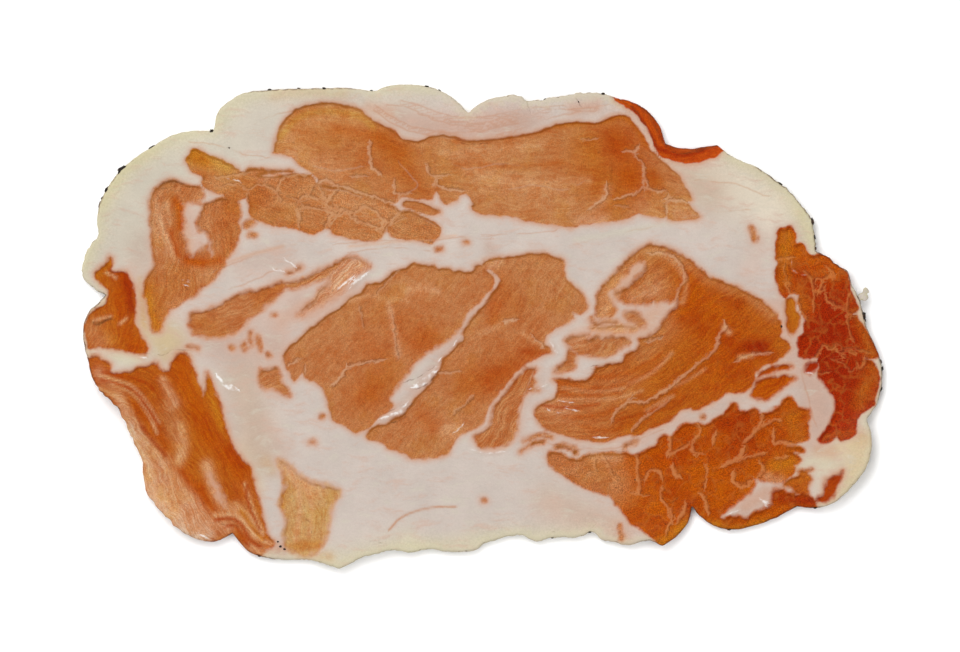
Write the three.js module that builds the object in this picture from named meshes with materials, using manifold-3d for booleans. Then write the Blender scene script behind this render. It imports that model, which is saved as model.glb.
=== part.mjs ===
// One slice of coppa, dry-cured pork neck, lying flat with its cut face up.
// The slice is a thin limp sheet: flat in the middle, with a lobed rim that lifts a little where
// it has dried. Both cut faces are parallel. The muscles have shrunk more than the fat, so on the
// upper face each one is a shallow recess and the seams of fat stand proud.
// Millimetres, +Z up, origin under the middle of the slice's box.
import * as THREE from "three";
import { mergeVertices } from "three/addons/utils/BufferGeometryUtils.js";
import Module from "manifold-3d";

const LENGTH = 120; // the slice from its left to its right end, along X
const THICKNESS = 1.5; // from the lower to the upper cut face, through the fat
const LEAN_SINK = 0.3; // how far the dried muscles lie below the fat
const GRID_STEP = 2.4; // size of the facets on both cut faces
const RIM_STEP = 1.1; // spacing of the points along the rim
const SEAM_STEP = 1.5; // spacing of the points along a muscle's edge
const CLEARANCE = 4; // how far the cutting tools reach past what they cut
const SKETCH_LENGTH = 120; // the length that the places below are drawn for

// The rim, clockwise from the notch at the upper left. Each run is one lobe, a smooth curve from
// a notch or a corner to the next, and it ends where the following run starts.
const rimLobes = [
  [[-40.3, 29.4], [-39.7, 32.3], [-36.2, 34.9], [-32.5, 35.5], [-25.5, 35.75], [-20, 35.8]],
  [[-16.1, 35.3], [-14.2, 36.1], [-8.5, 36.1], [-5, 34.7], [-3.2, 33.2]],
  [[-2.1, 31.9], [-0.9, 33.2], [2, 34.4], [5.7, 34.75]],
  [[6.7, 33.8], [10, 34.3], [15.2, 35.1], [20.3, 34.4], [23.5, 33.2], [26.2, 30.8]],
  [[27.4, 27.4], [30.5, 26.7]],
  [[35.2, 27.25], [37.5, 25.5], [41.5, 23.7], [46, 20.3], [49.3, 16.2]],
  [[50, 11.3], [51.3, 11], [53, 9.6], [54.8, 8.3], [55.4, 6.2]],
  [[56.6, 4.2], [57.6, 0], [59.5, -4.3], [60, -8], [59, -12]],
  [[57.6, -13.8], [58.4, -16.5], [57.8, -20.6], [55.5, -24], [52.3, -26.7], [49.5, -27.25]],
  [[47.2, -27], [44, -28.7], [38, -30.5], [34.6, -29.9], [32.3, -28.2]],
  [[31.4, -26.9], [31, -29.1], [29.3, -31.3]],
  [[27, -33], [24.8, -32.1], [22, -32.85]],
  [[17.8, -32], [16.4, -30.9], [14, -31.9], [11.5, -31.6], [7.8, -32.2]],
  [[6, -31.4], [1.5, -32.1], [-1.5, -33.7]],
  [[-6, -33.8], [-8, -33.3], [-10.8, -34]],
  [[-13.2, -33.5], [-17.5, -34.5], [-21.5, -36.3], [-26, -35.1], [-31.5, -34.9], [-35, -33.9]],
  [[-37.5, -31], [-40.3, -32.3], [-45, -31], [-48, -28], [-50.4, -25.2]],
  [[-51, -20.7], [-53, -15.8], [-54.8, -12.3], [-58, -9], [-59.3, -4.8], [-60, -0.2], [-59, 2.4]],
  [[-56.5, 4.7], [-59.4, 6.4], [-60, 10], [-57.9, 13.7], [-57.7, 17.6], [-54.8, 23], [-50, 26.7], [-45.5, 29.1]],
];

// The muscles that the knife crossed, each a closed smooth outline.
const muscles = {
  upper: [
    [-31.2, 26.8], [-29.3, 31.1], [-25, 33], [-19.5, 32.3], [-12.2, 27.8], [-7.5, 28.3], [0, 27.8],
    [8, 29.1], [13, 30.8], [17.5, 30.5], [21, 31.7], [24.6, 28.2], [27.5, 24.4], [30.2, 20.8],
    [32.4, 16.6], [23, 16.8], [13, 15.1], [0, 17.1], [-3, 20.2], [-8, 20], [-17, 21.2], [-24.5, 23.1],
  ],
  band: [
    [-44.3, 24.6], [-43.3, 26.6], [-36.7, 23.8], [-27, 22.5], [-17, 19.6], [-6.7, 16.6],
    [-7.7, 12.8], [-14, 14.2], [-18, 13.1], [-24, 14.6], [-33.5, 15.9], [-35, 19.8], [-41.3, 22.2],
  ],
  ring: [
    [-48.6, 21.1], [-44.5, 21.6], [-42.2, 20.4], [-43.9, 18.7], [-44.8, 16], [-44.9, 12.5], [-43.4, 10.6],
    [-41, 12.2], [-42.4, 15], [-41.7, 18.4], [-38, 19.2], [-36.4, 16], [-37.3, 11.8], [-40.2, 7.2],
    [-46, 3.5], [-48.6, -0.3], [-50.5, 5.2], [-49.3, 10], [-49.8, 17.5],
  ],
  nub: [
    [-55.8, 10.2], [-58, 8], [-56.2, 5], [-58.8, 1.9], [-59.3, -0.5], [-58.8, -3.1], [-50.6, -4.1],
    [-52, 0.2], [-52.3, 6], [-54.2, 8.3],
  ],
  flap: [
    [-58.3, -5.9], [-53.5, -6.7], [-49.3, -5.3], [-47.4, -6.5], [-45.7, -4.1], [-44, -5.6], [-41.7, -10.4],
    [-38.9, -14.5], [-34.9, -21], [-32.3, -31], [-33.5, -33.5], [-36.2, -31.9], [-38, -30.6],
    [-44.6, -30.3], [-49.8, -25], [-52.3, -15.9], [-54.3, -11.8], [-57.4, -9],
  ],
  wedge: [
    [-32.8, -20.8], [-30, -20.3], [-26, -23.2], [-21.6, -24.5], [-23, -28], [-24.3, -32.7],
    [-28.2, -33.6], [-29.8, -31], [-30.2, -26.5], [-29.8, -22.3],
  ],
  spindle: [
    [-43.6, 0.9], [-37, 4.4], [-30.5, 6.6], [-22, 9], [-26.5, 6], [-31.5, 4.1], [-35.5, 1.2],
    [-38.8, -1.6], [-43.4, -1.3],
  ],
  streak: [[-26.7, 2.7], [-23.3, 6.2], [-19.2, 10], [-17.3, 8.9], [-21, 5.4], [-24.6, 4.1]],
  centreLeft: [
    [-29.7, -5], [-26.5, -0.8], [-20.5, 4.4], [-15, 6.9], [-10.2, 9.3], [-5, 8.6], [-0.4, 9.3], [1.3, 7],
    [-1.8, 2.5], [-5, -2.1], [-10.5, -7.2], [-14.8, -12.6], [-18.4, -15.8], [-22.6, -13.9], [-23.8, -9.6],
    [-28.3, -7.6],
  ],
  centre: [
    [0.8, 9.7], [8, 10.8], [11.9, 9.7], [12.6, 6.6], [15.4, 3.1], [10.6, -0.8], [9.4, -4.5], [4.8, -7.2],
    [1, -12.4], [-1.2, -15.4], [-5, -18.5], [-10.5, -19.5], [-17.2, -16.5], [-11.2, -12.3], [-6.4, -6.3],
    [-2.6, -1.3], [2.3, 5.9], [2.2, 7.6],
  ],
  strip: [
    [7.4, -6.4], [3.3, -10], [1.3, -14], [-0.9, -17], [1.2, -18.5], [4.6, -16], [5.3, -11.5], [7.6, -9],
  ],
  shoulder: [
    [8.1, -11.8], [8.6, -14.8], [15, -17.1], [22, -16.1], [30, -13.2], [40.2, -9.3], [43.6, -6], [46.2, -3.3],
    [44.5, 0.6], [40.5, 4.9], [29.5, 10.8], [26, 12.3], [22.2, 10.6], [17.4, 5.2], [17.4, 2.3], [24.8, 4.4],
    [29.2, 3.6], [26, -0.6], [22, -4.6], [16, -7.4], [11.4, -7.9],
  ],
  islet: [[13, -2.2], [16, -1.2], [20.8, -1.9], [22.6, -3.1], [17.4, -4.6], [13.9, -4.4]],
  neck: [
    [10, -19.4], [11, -21.2], [15.5, -24.2], [19, -25.5], [22.5, -29.4], [25.7, -31.2], [29.4, -30.2],
    [31.2, -26.2], [34.7, -29.2], [40, -29.4], [36.4, -27.4], [40.6, -24.4], [44.5, -21.9], [48.5, -19],
    [49.3, -13.2], [45.5, -10.8], [38, -12], [34, -14], [27.5, -16.4], [20.5, -18.9],
  ],
  cheek: [
    [44.8, 14.3], [46.4, 14.4], [48.5, 11.3], [53, 9], [54.6, 6.5], [55.6, 1], [58.2, -5.5], [58.9, -9.5],
    [56, -14.5], [54.2, -17.2], [50.9, -17.1], [53, -12], [51.9, -8.9], [49.6, -5.2], [47.8, -4.2],
    [47.8, -1.5], [45.7, 1], [44.2, 7],
  ],
  rimStrip: [
    [21.2, 33.6], [24, 32], [25.9, 29.8], [27.3, 26.9], [30.3, 26.2], [34.4, 26.8], [30, 25.3], [26.6, 26.8],
    [24.6, 30.3],
  ],
};

// Where the dried rim lifts: the middle of each lift, its reach and its height.
const lifts = [
  { at: [-58, -12], reach: 15, height: 2.1 },
  { at: [-47, -33], reach: 12, height: 1.3 },
  { at: [-16, -40], reach: 13, height: 1.5 },
  { at: [28, -36], reach: 10, height: 1.2 },
  { at: [61, -24], reach: 15, height: 2.2 },
  { at: [60, 10], reach: 13, height: 1.1 },
  { at: [41, 30], reach: 12, height: 1.6 },
  { at: [10, 41], reach: 12, height: 1.3 },
  { at: [-28, 41], reach: 12, height: 1.2 },
  { at: [-60, 22], reach: 16, height: 2 },
];

const wasm = await Module();
wasm.setup();

const scale = LENGTH / SKETCH_LENGTH;

/** The places of a sketch as vectors, at the size of this slice. */
function placed(points) {
  return points.map(([x, y]) => new THREE.Vector3(x * scale, y * scale, 0));
}

/** Points at about an even step along a smooth curve through the given ones, without its end. */
function smoothRun(points, closed, step) {
  const curve = new THREE.CatmullRomCurve3(points, closed, "centripetal");
  return curve.getSpacedPoints(Math.max(2, Math.round(curve.getLength() / step))).slice(0, -1);
}

/** The whole rim, lobe by lobe, moved so that its box is centred on the origin. */
function rimOutline() {
  const starts = rimLobes.map((lobe) => lobe[0]);
  const runs = rimLobes.map((lobe, i) => placed([...lobe, starts[(i + 1) % starts.length]]));
  const rim = runs.flatMap((run) => smoothRun(run, false, RIM_STEP));
  const middle = new THREE.Box3().setFromPoints(rim).getCenter(new THREE.Vector3());
  return { rim: rim.map((p) => p.sub(middle)), middle };
}

/** How high the lower cut face has lifted at a place: 0 where the slice lies flat. */
function liftAt(x, y) {
  const heights = lifts.map(({ at, reach, height }) => {
    const away = Math.hypot(x - at[0] * scale, y - at[1] * scale) / (reach * scale);
    return away < 1 ? height * (1 - away * away) ** 2 : 0;
  });
  return Math.hypot(...heights);
}

/** A sheet that follows the slice's lift, from one distance above its lower face to another. */
function sheet(size, low, high) {
  const [width, depth] = [size.x + 2 * CLEARANCE, size.y + 2 * CLEARANCE];
  const across = Math.round(width / GRID_STEP);
  const along = Math.round(depth / GRID_STEP);
  const geometry = new THREE.BoxGeometry(width, depth, 1, across, along, 1);
  const place = geometry.getAttribute("position");
  for (let i = 0; i < place.count; i++) {
    const level = place.getZ(i) > 0 ? high : low;
    place.setZ(i, liftAt(place.getX(i), place.getY(i)) + level);
  }
  return solidOf(geometry);
}

/** An upright cutting tool with the given outline, taller than the slice. */
function cutter(outline, height) {
  const shape = new THREE.Shape(outline.map((p) => new THREE.Vector2(p.x, p.y)));
  const geometry = new THREE.ExtrudeGeometry(shape, { depth: height + 2 * CLEARANCE, bevelEnabled: false });
  return solidOf(geometry.translate(0, 0, -CLEARANCE));
}

/** A closed three.js geometry as a solid that can be cut and joined. */
function solidOf(geometry) {
  const bare = geometry.clone();
  bare.deleteAttribute("normal");
  bare.deleteAttribute("uv");
  const merged = mergeVertices(bare, 1e-4);
  return new wasm.Manifold(
    new wasm.Mesh({
      numProp: 3,
      vertProperties: new Float32Array(merged.getAttribute("position").array),
      triVerts: new Uint32Array(merged.index.array),
    }),
  );
}

/** A solid as a three.js geometry. */
function geometryOf(solid) {
  const mesh = solid.getMesh();
  const geometry = new THREE.BufferGeometry();
  geometry.setAttribute("position", new THREE.BufferAttribute(mesh.vertProperties, 3));
  geometry.setIndex(new THREE.BufferAttribute(mesh.triVerts, 1));
  geometry.computeVertexNormals();
  return geometry;
}

/** The slice: a sheet cut to the rim, with a shallow recess for each muscle in its upper face. */
function sliceGeometry() {
  const { rim, middle } = rimOutline();
  const size = new THREE.Box3().setFromPoints(rim).getSize(new THREE.Vector3());
  const tallest = THICKNESS + Math.max(...lifts.map((lift) => lift.height));
  const overLean = sheet(size, THICKNESS - LEAN_SINK, THICKNESS + CLEARANCE);
  let slice = sheet(size, 0, THICKNESS).intersect(cutter(rim, tallest));
  for (const outline of Object.values(muscles)) {
    const edge = smoothRun(placed(outline).map((p) => p.sub(middle)), true, SEAM_STEP);
    slice = slice.subtract(cutter(edge, tallest).intersect(overLean));
  }
  return geometryOf(slice);
}

const meat = new THREE.MeshStandardMaterial({ color: 0xd39a72, roughness: 0.42, metalness: 0 });
const slice = new THREE.Mesh(sliceGeometry(), meat);
slice.name = "slice";

const coppa = new THREE.Group();
coppa.add(slice);

export default coppa;
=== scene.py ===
# One slice of dry-cured coppa, lying flat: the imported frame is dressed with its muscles, marbling,
# dried rim and crushed pepper, and shown from straight above on a pale floor.
import math

import bmesh
import bpy
import numpy as np
from mathutils import Matrix, Vector
from mathutils.bvhtree import BVHTree


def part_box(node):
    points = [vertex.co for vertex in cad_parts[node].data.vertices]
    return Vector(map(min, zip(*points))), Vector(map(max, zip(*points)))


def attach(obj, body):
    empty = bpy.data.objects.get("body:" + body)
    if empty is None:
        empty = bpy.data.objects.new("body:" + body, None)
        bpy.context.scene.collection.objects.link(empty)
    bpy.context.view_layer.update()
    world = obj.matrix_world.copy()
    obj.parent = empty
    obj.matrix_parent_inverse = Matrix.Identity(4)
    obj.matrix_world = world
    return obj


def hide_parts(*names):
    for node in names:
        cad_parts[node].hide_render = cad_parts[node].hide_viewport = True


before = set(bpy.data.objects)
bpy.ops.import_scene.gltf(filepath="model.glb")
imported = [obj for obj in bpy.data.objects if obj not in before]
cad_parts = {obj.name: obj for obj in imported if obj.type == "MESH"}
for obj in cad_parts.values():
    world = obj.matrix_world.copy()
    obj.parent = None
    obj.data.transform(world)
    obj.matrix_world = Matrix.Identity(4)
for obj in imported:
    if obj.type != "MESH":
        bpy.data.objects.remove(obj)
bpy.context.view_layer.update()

# every place below is in millimetres on the cut face, from the middle of the slice
sketchLength = 120.07
boxLow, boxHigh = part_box("slice")
mm = (boxHigh.x - boxLow.x) / sketchLength
print("frame loaded, one sketch millimetre is", round(mm * 1000, 4), "mm")


# the slice's mesh

sliceForm = {
    "thickness": 1.5,
    "topStep": 0.31,  # facets of the upper cut face
    "underStep": 0.62,  # facets of the lower one
    "rimStep": 0.34,  # points along the rim
    "rimWander": 0.09,  # how far the dried rim strays from a smooth line
    "raggedWander": 0.2,  # how much further where it is ragged
    "raggedReach": (2.2, 0.8),  # distances from a ragged stretch's line where that begins and is full
    "rimWaves": ((0.9, 0.65, 3), (0.4, 0.35, 4)),  # waves of noise: width, strength and seed
    "rimBias": -0.25,
    "ringWidth": 0.5,  # plain ring between the rim and the facets
    "leanSink": 0.15,  # the muscles have dried lower than the fat
    "sinkReach": 0.6,
    "fatSwell": 0.05,
    "fatWaves": ((3.4, 1, 21), (1.4, 0.5, 22)),
    "leanGrit": 0.025,
    "leanWaves": ((0.9, 1, 23), (2.2, 1, 24)),
    "lineSlope": 0.2,  # how far a line's rise runs out beside it
    "lineRise": {"vein": 0.06, "wetGlint": 0.14, "crackAndShadow": -0.05},
}

# rows of the wall, from the upper face down: how far in from the rim, and how high
wallRows = [(0.24, 1.0), (0.07, 0.9), (0.0, 0.62), (0.04, 0.3), (0.16, 0.0)]


def softNoise(places, size, seed):
    # smooth seeded noise from -1 to 1, with bumps about as wide as size
    draw = np.random.default_rng(seed)
    lattice = draw.uniform(-1, 1, (256, 256))
    spot = places / size + 128
    cell = np.floor(spot).astype(int)
    part = spot - cell
    part = part * part * (3 - 2 * part)
    column, row = cell[:, 0] % 256, cell[:, 1] % 256
    nextColumn, nextRow = (column + 1) % 256, (row + 1) % 256
    low = lattice[row, column] * (1 - part[:, 0]) + lattice[row, nextColumn] * part[:, 0]
    high = lattice[nextRow, column] * (1 - part[:, 0]) + lattice[nextRow, nextColumn] * part[:, 0]
    return low * (1 - part[:, 1]) + high * part[:, 1]


def noiseSum(places, waves):
    # several waves of noise, each with its width, strength and seed
    return sum(strength * softNoise(places, size, seed) for size, strength, seed in waves)


def asPlaces(numbers):
    # places from a list that says x, y, x, y and so on
    return np.reshape(numbers, (-1, 2)).astype(float)


def smoothStep(value, low, high):
    part = np.clip((value - low) / (high - low), 0, 1)
    return part * part * (3 - 2 * part)


def smoothCurve(points, closed, cuts=3):
    # a Catmull-Rom curve through the points
    knots = asPlaces(points)
    if closed:
        before, after, last = np.roll(knots, 1, 0), np.roll(knots, -1, 0), np.roll(knots, -2, 0)
    else:
        before = np.vstack([2 * knots[0] - knots[1], knots[:-2]])
        last = np.vstack([knots[2:], 2 * knots[-1] - knots[-2]])
        after, end = knots[1:], knots[-1:]
        knots = knots[:-1]
    steps = []
    for t in np.arange(cuts) / cuts:
        steps.append(0.5 * (2 * knots + (after - before) * t
                            + (2 * before - 5 * knots + 4 * after - last) * t ** 2
                            + (3 * knots - before - 3 * after + last) * t ** 3))
    curve = np.stack(steps, 1).reshape(-1, 2)
    return curve if closed else np.vstack([curve, end])


def drawnLine(numbers):
    # a drawn line: straight through two places, smooth through more
    line = asPlaces(numbers)
    return smoothCurve(line, closed=False) if len(line) > 2 else line


def alongLine(places, line, closed=False):
    # distance of each place from a line, which side it is on, how far along, and the nearest stretch
    start = line if closed else line[:-1]
    run = (np.roll(line, -1, 0) if closed else line[1:]) - start
    length = np.maximum(np.hypot(run[:, 0], run[:, 1]), 1e-9)
    offset = places[:, None, :] - start[None]
    along = np.clip((offset * run).sum(2) / length ** 2, 0, 1)
    gap = offset - along[..., None] * run
    distance = np.hypot(gap[..., 0], gap[..., 1])
    best = distance.argmin(1)
    rows = np.arange(len(places))
    side = np.sign(run[best, 0] * offset[rows, best, 1] - run[best, 1] * offset[rows, best, 0])
    walked = np.concatenate([[0], np.cumsum(length)])[best] + along[rows, best] * length[best]
    return distance[rows, best], side, walked, best


def isInside(places, outline):
    start, end = outline, np.roll(outline, -1, 0)
    x, y = places[:, :1], places[:, 1:]
    crosses = (start[:, 1] > y) != (end[:, 1] > y)
    rise = np.where(end[:, 1] == start[:, 1], 1e-12, end[:, 1] - start[:, 1])
    at = start[:, 0] + (y - start[:, 1]) / rise * (end[:, 0] - start[:, 0])
    return (crosses & (x < at)).sum(1) % 2 == 1


def nearLine(places, line, margin):
    # which places are in the line's box, with a margin round it
    low, high = line.min(0) - margin, line.max(0) + margin
    return np.flatnonzero(((places > low) & (places < high)).all(1))


def depthInside(places, outline, margin):
    # how deep each place is inside an outline: negative outside it, and -margin far away
    depth = np.full(len(places), -margin)
    near = nearLine(places, outline, margin)
    spread = alongLine(places[near], outline, closed=True)[0]
    depth[near] = np.where(isInside(places[near], outline), spread, np.maximum(-spread, -margin))
    return depth


def frameRim():
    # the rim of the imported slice's lower face, and the slice as something that rays can hit
    bm = bmesh.new()
    bm.from_mesh(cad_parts["slice"].data)
    bmesh.ops.remove_doubles(bm, verts=bm.verts, dist=1e-6)
    bm.normal_update()
    under = {face for face in bm.faces if face.normal.z < -0.7}  # those that look down
    border = [edge for edge in bm.edges if sum(face in under for face in edge.link_faces) == 1]
    onward = {}
    for edge in border:
        for vert in edge.verts:
            onward.setdefault(vert, []).append(edge)
    loops, used = [], set()
    for first in border:
        if first in used:
            continue
        vert, edge, loop = first.verts[0], first, []
        while edge is not None and edge not in used:
            used.add(edge)
            loop.append(vert.co.xy / mm)
            vert = edge.other_vert(vert)
            edge = next((other for other in onward[vert] if other not in used), None)
        loops.append(loop)
    rim = np.array([tuple(place) for place in max(loops, key=len)])
    tree = BVHTree.FromBMesh(bm)
    bm.free()
    return rim, tree


def evenSteps(line, step):
    # the same closed line with evenly spaced points
    ring = np.vstack([line, line[:1]])
    length = np.concatenate([[0], np.cumsum(np.hypot(*np.diff(ring, axis=0).T))])
    at = np.linspace(0, length[-1], round(length[-1] / step), endpoint=False)
    return np.stack([np.interp(at, length, ring[:, 0]), np.interp(at, length, ring[:, 1])], 1)


def driedRim(rim):
    # the rim with its corners rounded, a little uneven as dried meat is
    for _ in range(2):
        ahead = np.roll(rim, -1, 0)
        rim = np.stack([0.75 * rim + 0.25 * ahead, 0.25 * rim + 0.75 * ahead], 1).reshape(-1, 2)
    rim = evenSteps(rim, sliceForm["rimStep"])
    area = (rim[:, 0] * np.roll(rim[:, 1], -1) - rim[:, 1] * np.roll(rim[:, 0], -1)).sum()
    if area < 0:
        rim = rim[::-1]
    outward = rimOutward(rim)
    stray = noiseSum(rim, sliceForm["rimWaves"]) + sliceForm["rimBias"]
    ragged = np.zeros(len(rim))
    for line in raggedRims:
        away = alongLine(rim, drawnLine(line))[0]
        ragged = np.maximum(ragged, smoothStep(away, *sliceForm["raggedReach"]))
    reach = sliceForm["rimWander"] + sliceForm["raggedWander"] * ragged
    return rim + outward * (stray * reach)[:, None]


def rimOutward(rim):
    # outward directions of a rim that runs anticlockwise
    run = np.roll(rim, -2, 0) - np.roll(rim, 2, 0)
    run /= np.maximum(np.hypot(run[:, 0], run[:, 1]), 1e-9)[:, None]
    return np.stack([run[:, 1], -run[:, 0]], 1)


def pulledIn(rim, inset):
    # the rim moved inwards, less where it would cross itself
    outward, pull = rimOutward(rim), np.full(len(rim), float(inset))
    for _ in range(4):
        moved = rim - outward * pull[:, None]
        reach = alongLine(moved, rim, closed=True)[0]
        pull = np.where(reach < 0.8 * pull, pull * 0.5, pull)
    return rim - outward * pull[:, None]


class LiftField:
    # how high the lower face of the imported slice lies, as smooth heights on a coarse grid
    def __init__(self, tree, step=1.2, margin=4.0):
        self.step = step
        self.origin = np.array([boxLow.x / mm - margin, boxLow.y / mm - margin])
        size = (np.array([boxHigh.x, boxHigh.y]) / mm + margin - self.origin) / step
        columns, rows = (int(n) + 2 for n in size)
        heights = np.full((rows, columns), np.nan)
        for row in range(rows):
            for column in range(columns):
                x, y = (self.origin + np.array([column, row]) * step) * mm
                hit = tree.ray_cast(Vector((x, y, boxLow.z - mm)), Vector((0, 0, 1)))[0]
                if hit is not None:
                    heights[row, column] = hit.z / mm
        while np.isnan(heights).any():
            known = np.pad(~np.isnan(heights), 1)
            value = np.pad(np.nan_to_num(heights), 1)
            sides = ((1, 0), (-1, 0), (1, 1), (-1, 1))
            count = sum(np.roll(known, turn, axis) for turn, axis in sides)
            total = sum(np.roll(value, turn, axis) for turn, axis in sides)
            filled = np.where(count > 0, total / np.maximum(count, 1), np.nan)[1:-1, 1:-1]
            heights = np.where(np.isnan(heights), filled, heights)
        for _ in range(3):
            wide = np.pad(heights, 1, mode="edge")
            heights = (wide[:-2, 1:-1] + wide[2:, 1:-1] + wide[1:-1, :-2] + wide[1:-1, 2:]
                       + 2 * heights) / 6
        self.heights = heights

    def at(self, places):
        spot = (places - self.origin) / self.step
        cell = np.floor(spot).astype(int)
        part = spot - cell
        column, row = cell[:, 0], cell[:, 1]
        low = self.heights[row, column] * (1 - part[:, 0]) + self.heights[row, column + 1] * part[:, 0]
        high = (self.heights[row + 1, column] * (1 - part[:, 0])
                + self.heights[row + 1, column + 1] * part[:, 0])
        return np.maximum(low * (1 - part[:, 1]) + high * part[:, 1], 0)


def finishedMesh(bm, name):
    mesh = bpy.data.meshes.new(name)
    bm.to_mesh(mesh)
    bm.free()
    return mesh


def addObject(name, data):
    made = bpy.data.objects.new(name, data)
    bpy.context.scene.collection.objects.link(made)
    return made


# colours of dried lean and fat as they look in strong light, as bytes
meatTones = {
    "sand": (214, 158, 112),
    "tan": (190, 125, 76),
    "clay": (189, 121, 74),
    "amber": (184, 101, 22),
    "orange": (180, 92, 20),
    "rust": (168, 62, 0),
    "ember": (148, 32, 0),
    "fire": (182, 82, 2),
    "ochre": (191, 113, 22),
    "peach": (214, 160, 116),
    "blush": (212, 158, 120),
    "mauve": (197, 165, 148),
    "salmon": (203, 144, 108),
    "brick": (163, 43, 0),
    "oat": (200, 175, 154),
    "glow": (212, 126, 50),
    "scarlet": (190, 74, 10),
    "soot": (34, 24, 16),
    "straw": (200, 153, 98),
    "olive": (200, 150, 56),
    "pearl": (208, 194, 184),
    "chalk": (210, 201, 183),
    "cream": (214, 205, 171),
    "lemon": (208, 196, 150),
    "biscuit": (214, 192, 152),
    "milk": (224, 211, 190),
    "rose": (209, 174, 156),
    "bark": (92, 54, 28),
    "glint": (255, 253, 250),
}
strongLight = 1.39


def toneOf(name):
    # a named tone as linear colour
    tone = np.array(meatTones[name]) / 255
    return np.where(tone > 0.04045, ((tone + 0.055) / 1.055) ** 2.4, tone / 12.92) / strongLight


# each muscle: its tone, how soft its edge is, how much its fibres and its marbling show, and
# which line its fibres follow
muscleLook = {
    "upper": ("tan", 0.08, 0.24, 0.12, "top"),
    "leaf": ("tan", 0.08, 0.3, 0, "top"),
    "band": ("tan", 0.08, 0.3, 0.35, "band"),
    "ring": ("clay", 0.22, 0.45, 0.25, "ring"),
    "nub": ("orange", 0.14, 0.42, 0, "nub"),
    "flap": ("orange", 0.2, 0.48, 0, "flap"),
    "wedge": ("straw", 0.45, 0.2, 0, "wedge"),
    "spindle": ("clay", 0.3, 0.42, 0, "spindle"),
    "streakEdge": ("clay", 0.3, 1, 0, "spindle"),
    "streakPatch": ("salmon", 0.6, 0.7, 0, "streak"),
    "fragment": ("clay", 0.3, 0.5, 0, "spindle"),
    "centreLeft": ("clay", 0.1, 0.2, 0.15, "middle"),
    "centre": ("clay", 0.12, 0.25, 0.15, "middle"),
    "strip": ("clay", 0.25, 0.7, 0, "strip"),
    "shoulder": ("orange", 0.14, 0.46, 0.2, "fan"),
    "isletLong": ("clay", 0.25, 0.6, 0, "fan"),
    "isletLow": ("clay", 0.25, 0.5, 0, "fan"),
    "isletHigh": ("clay", 0.3, 0.5, 0, "fan"),
    "isletThread": ("sand", 0.25, 0.5, 0, "fan"),
    "lumpHigh": ("fire", 0.2, 0.6, 0, "fan"),
    "lumpLow": ("fire", 0.25, 0.6, 0, "fan"),
    "neck": ("fire", 0.16, 0.3, 0.55, "fan"),
    "neckTuft": ("orange", 0.25, 0.4, 0.4, "fan"),
    "neckTip": ("rust", 0.25, 0.4, 0, "fan"),
    "cheek": ("brick", 0.1, 0.2, 0.6, "cheek"),
    "cheekBean": ("orange", 0.15, 0.25, 0, "cheek"),
    "cheekLump": ("brick", 0.15, 0.2, 0, "cheek"),
    "rimStrip": ("scarlet", 0.05, 0.5, 0, "rimStrip"),
}

# the lines that the fibres follow; every line and outline from here on says x, y, x, y and so on
grainLines = {
    "top": [-34, 26, -20, 24, 0, 22.5, 16, 23, 32, 20],
    "band": [-46, 25, -36, 21, -25, 18, -14, 16, -4, 13],
    "ring": [-46, 23, -47.4, 17, -47, 10, -48.6, 0, -49, -4],
    "nub": [-56, 12, -54.5, 6, -55.5, 0, -57, -5],
    "flap": [-60, -5.5, -54, -7.5, -50, -9.5, -46.5, -14, -44, -19, -41, -25, -38, -30, -33, -35],
    "wedge": [-30, -18, -27, -24, -26, -36],
    "spindle": [-48, 0, -36, 2.4, -28, 6, -16, 10.5],
    "streak": [-28, 1, -24, 5, -19, 9.5],
    "middle": [-20, -20, -12, -11, -4, -3, 3, 6, 8, 14],
    "strip": [-2, -20, 1, -16, 3.5, -11, 8, -5],
    "fan": [5, -14, 12, -12.6, 19, -10.6, 26, -6.6, 32, -1.6, 38, 3, 44, 8],
    "cheek": [45, 18, 47, 8, 51, 0, 55, -8, 55, -18],
    "rimStrip": [19, 36, 23.5, 33, 25.5, 29.5, 28, 26.4, 36, 27],
}

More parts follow.
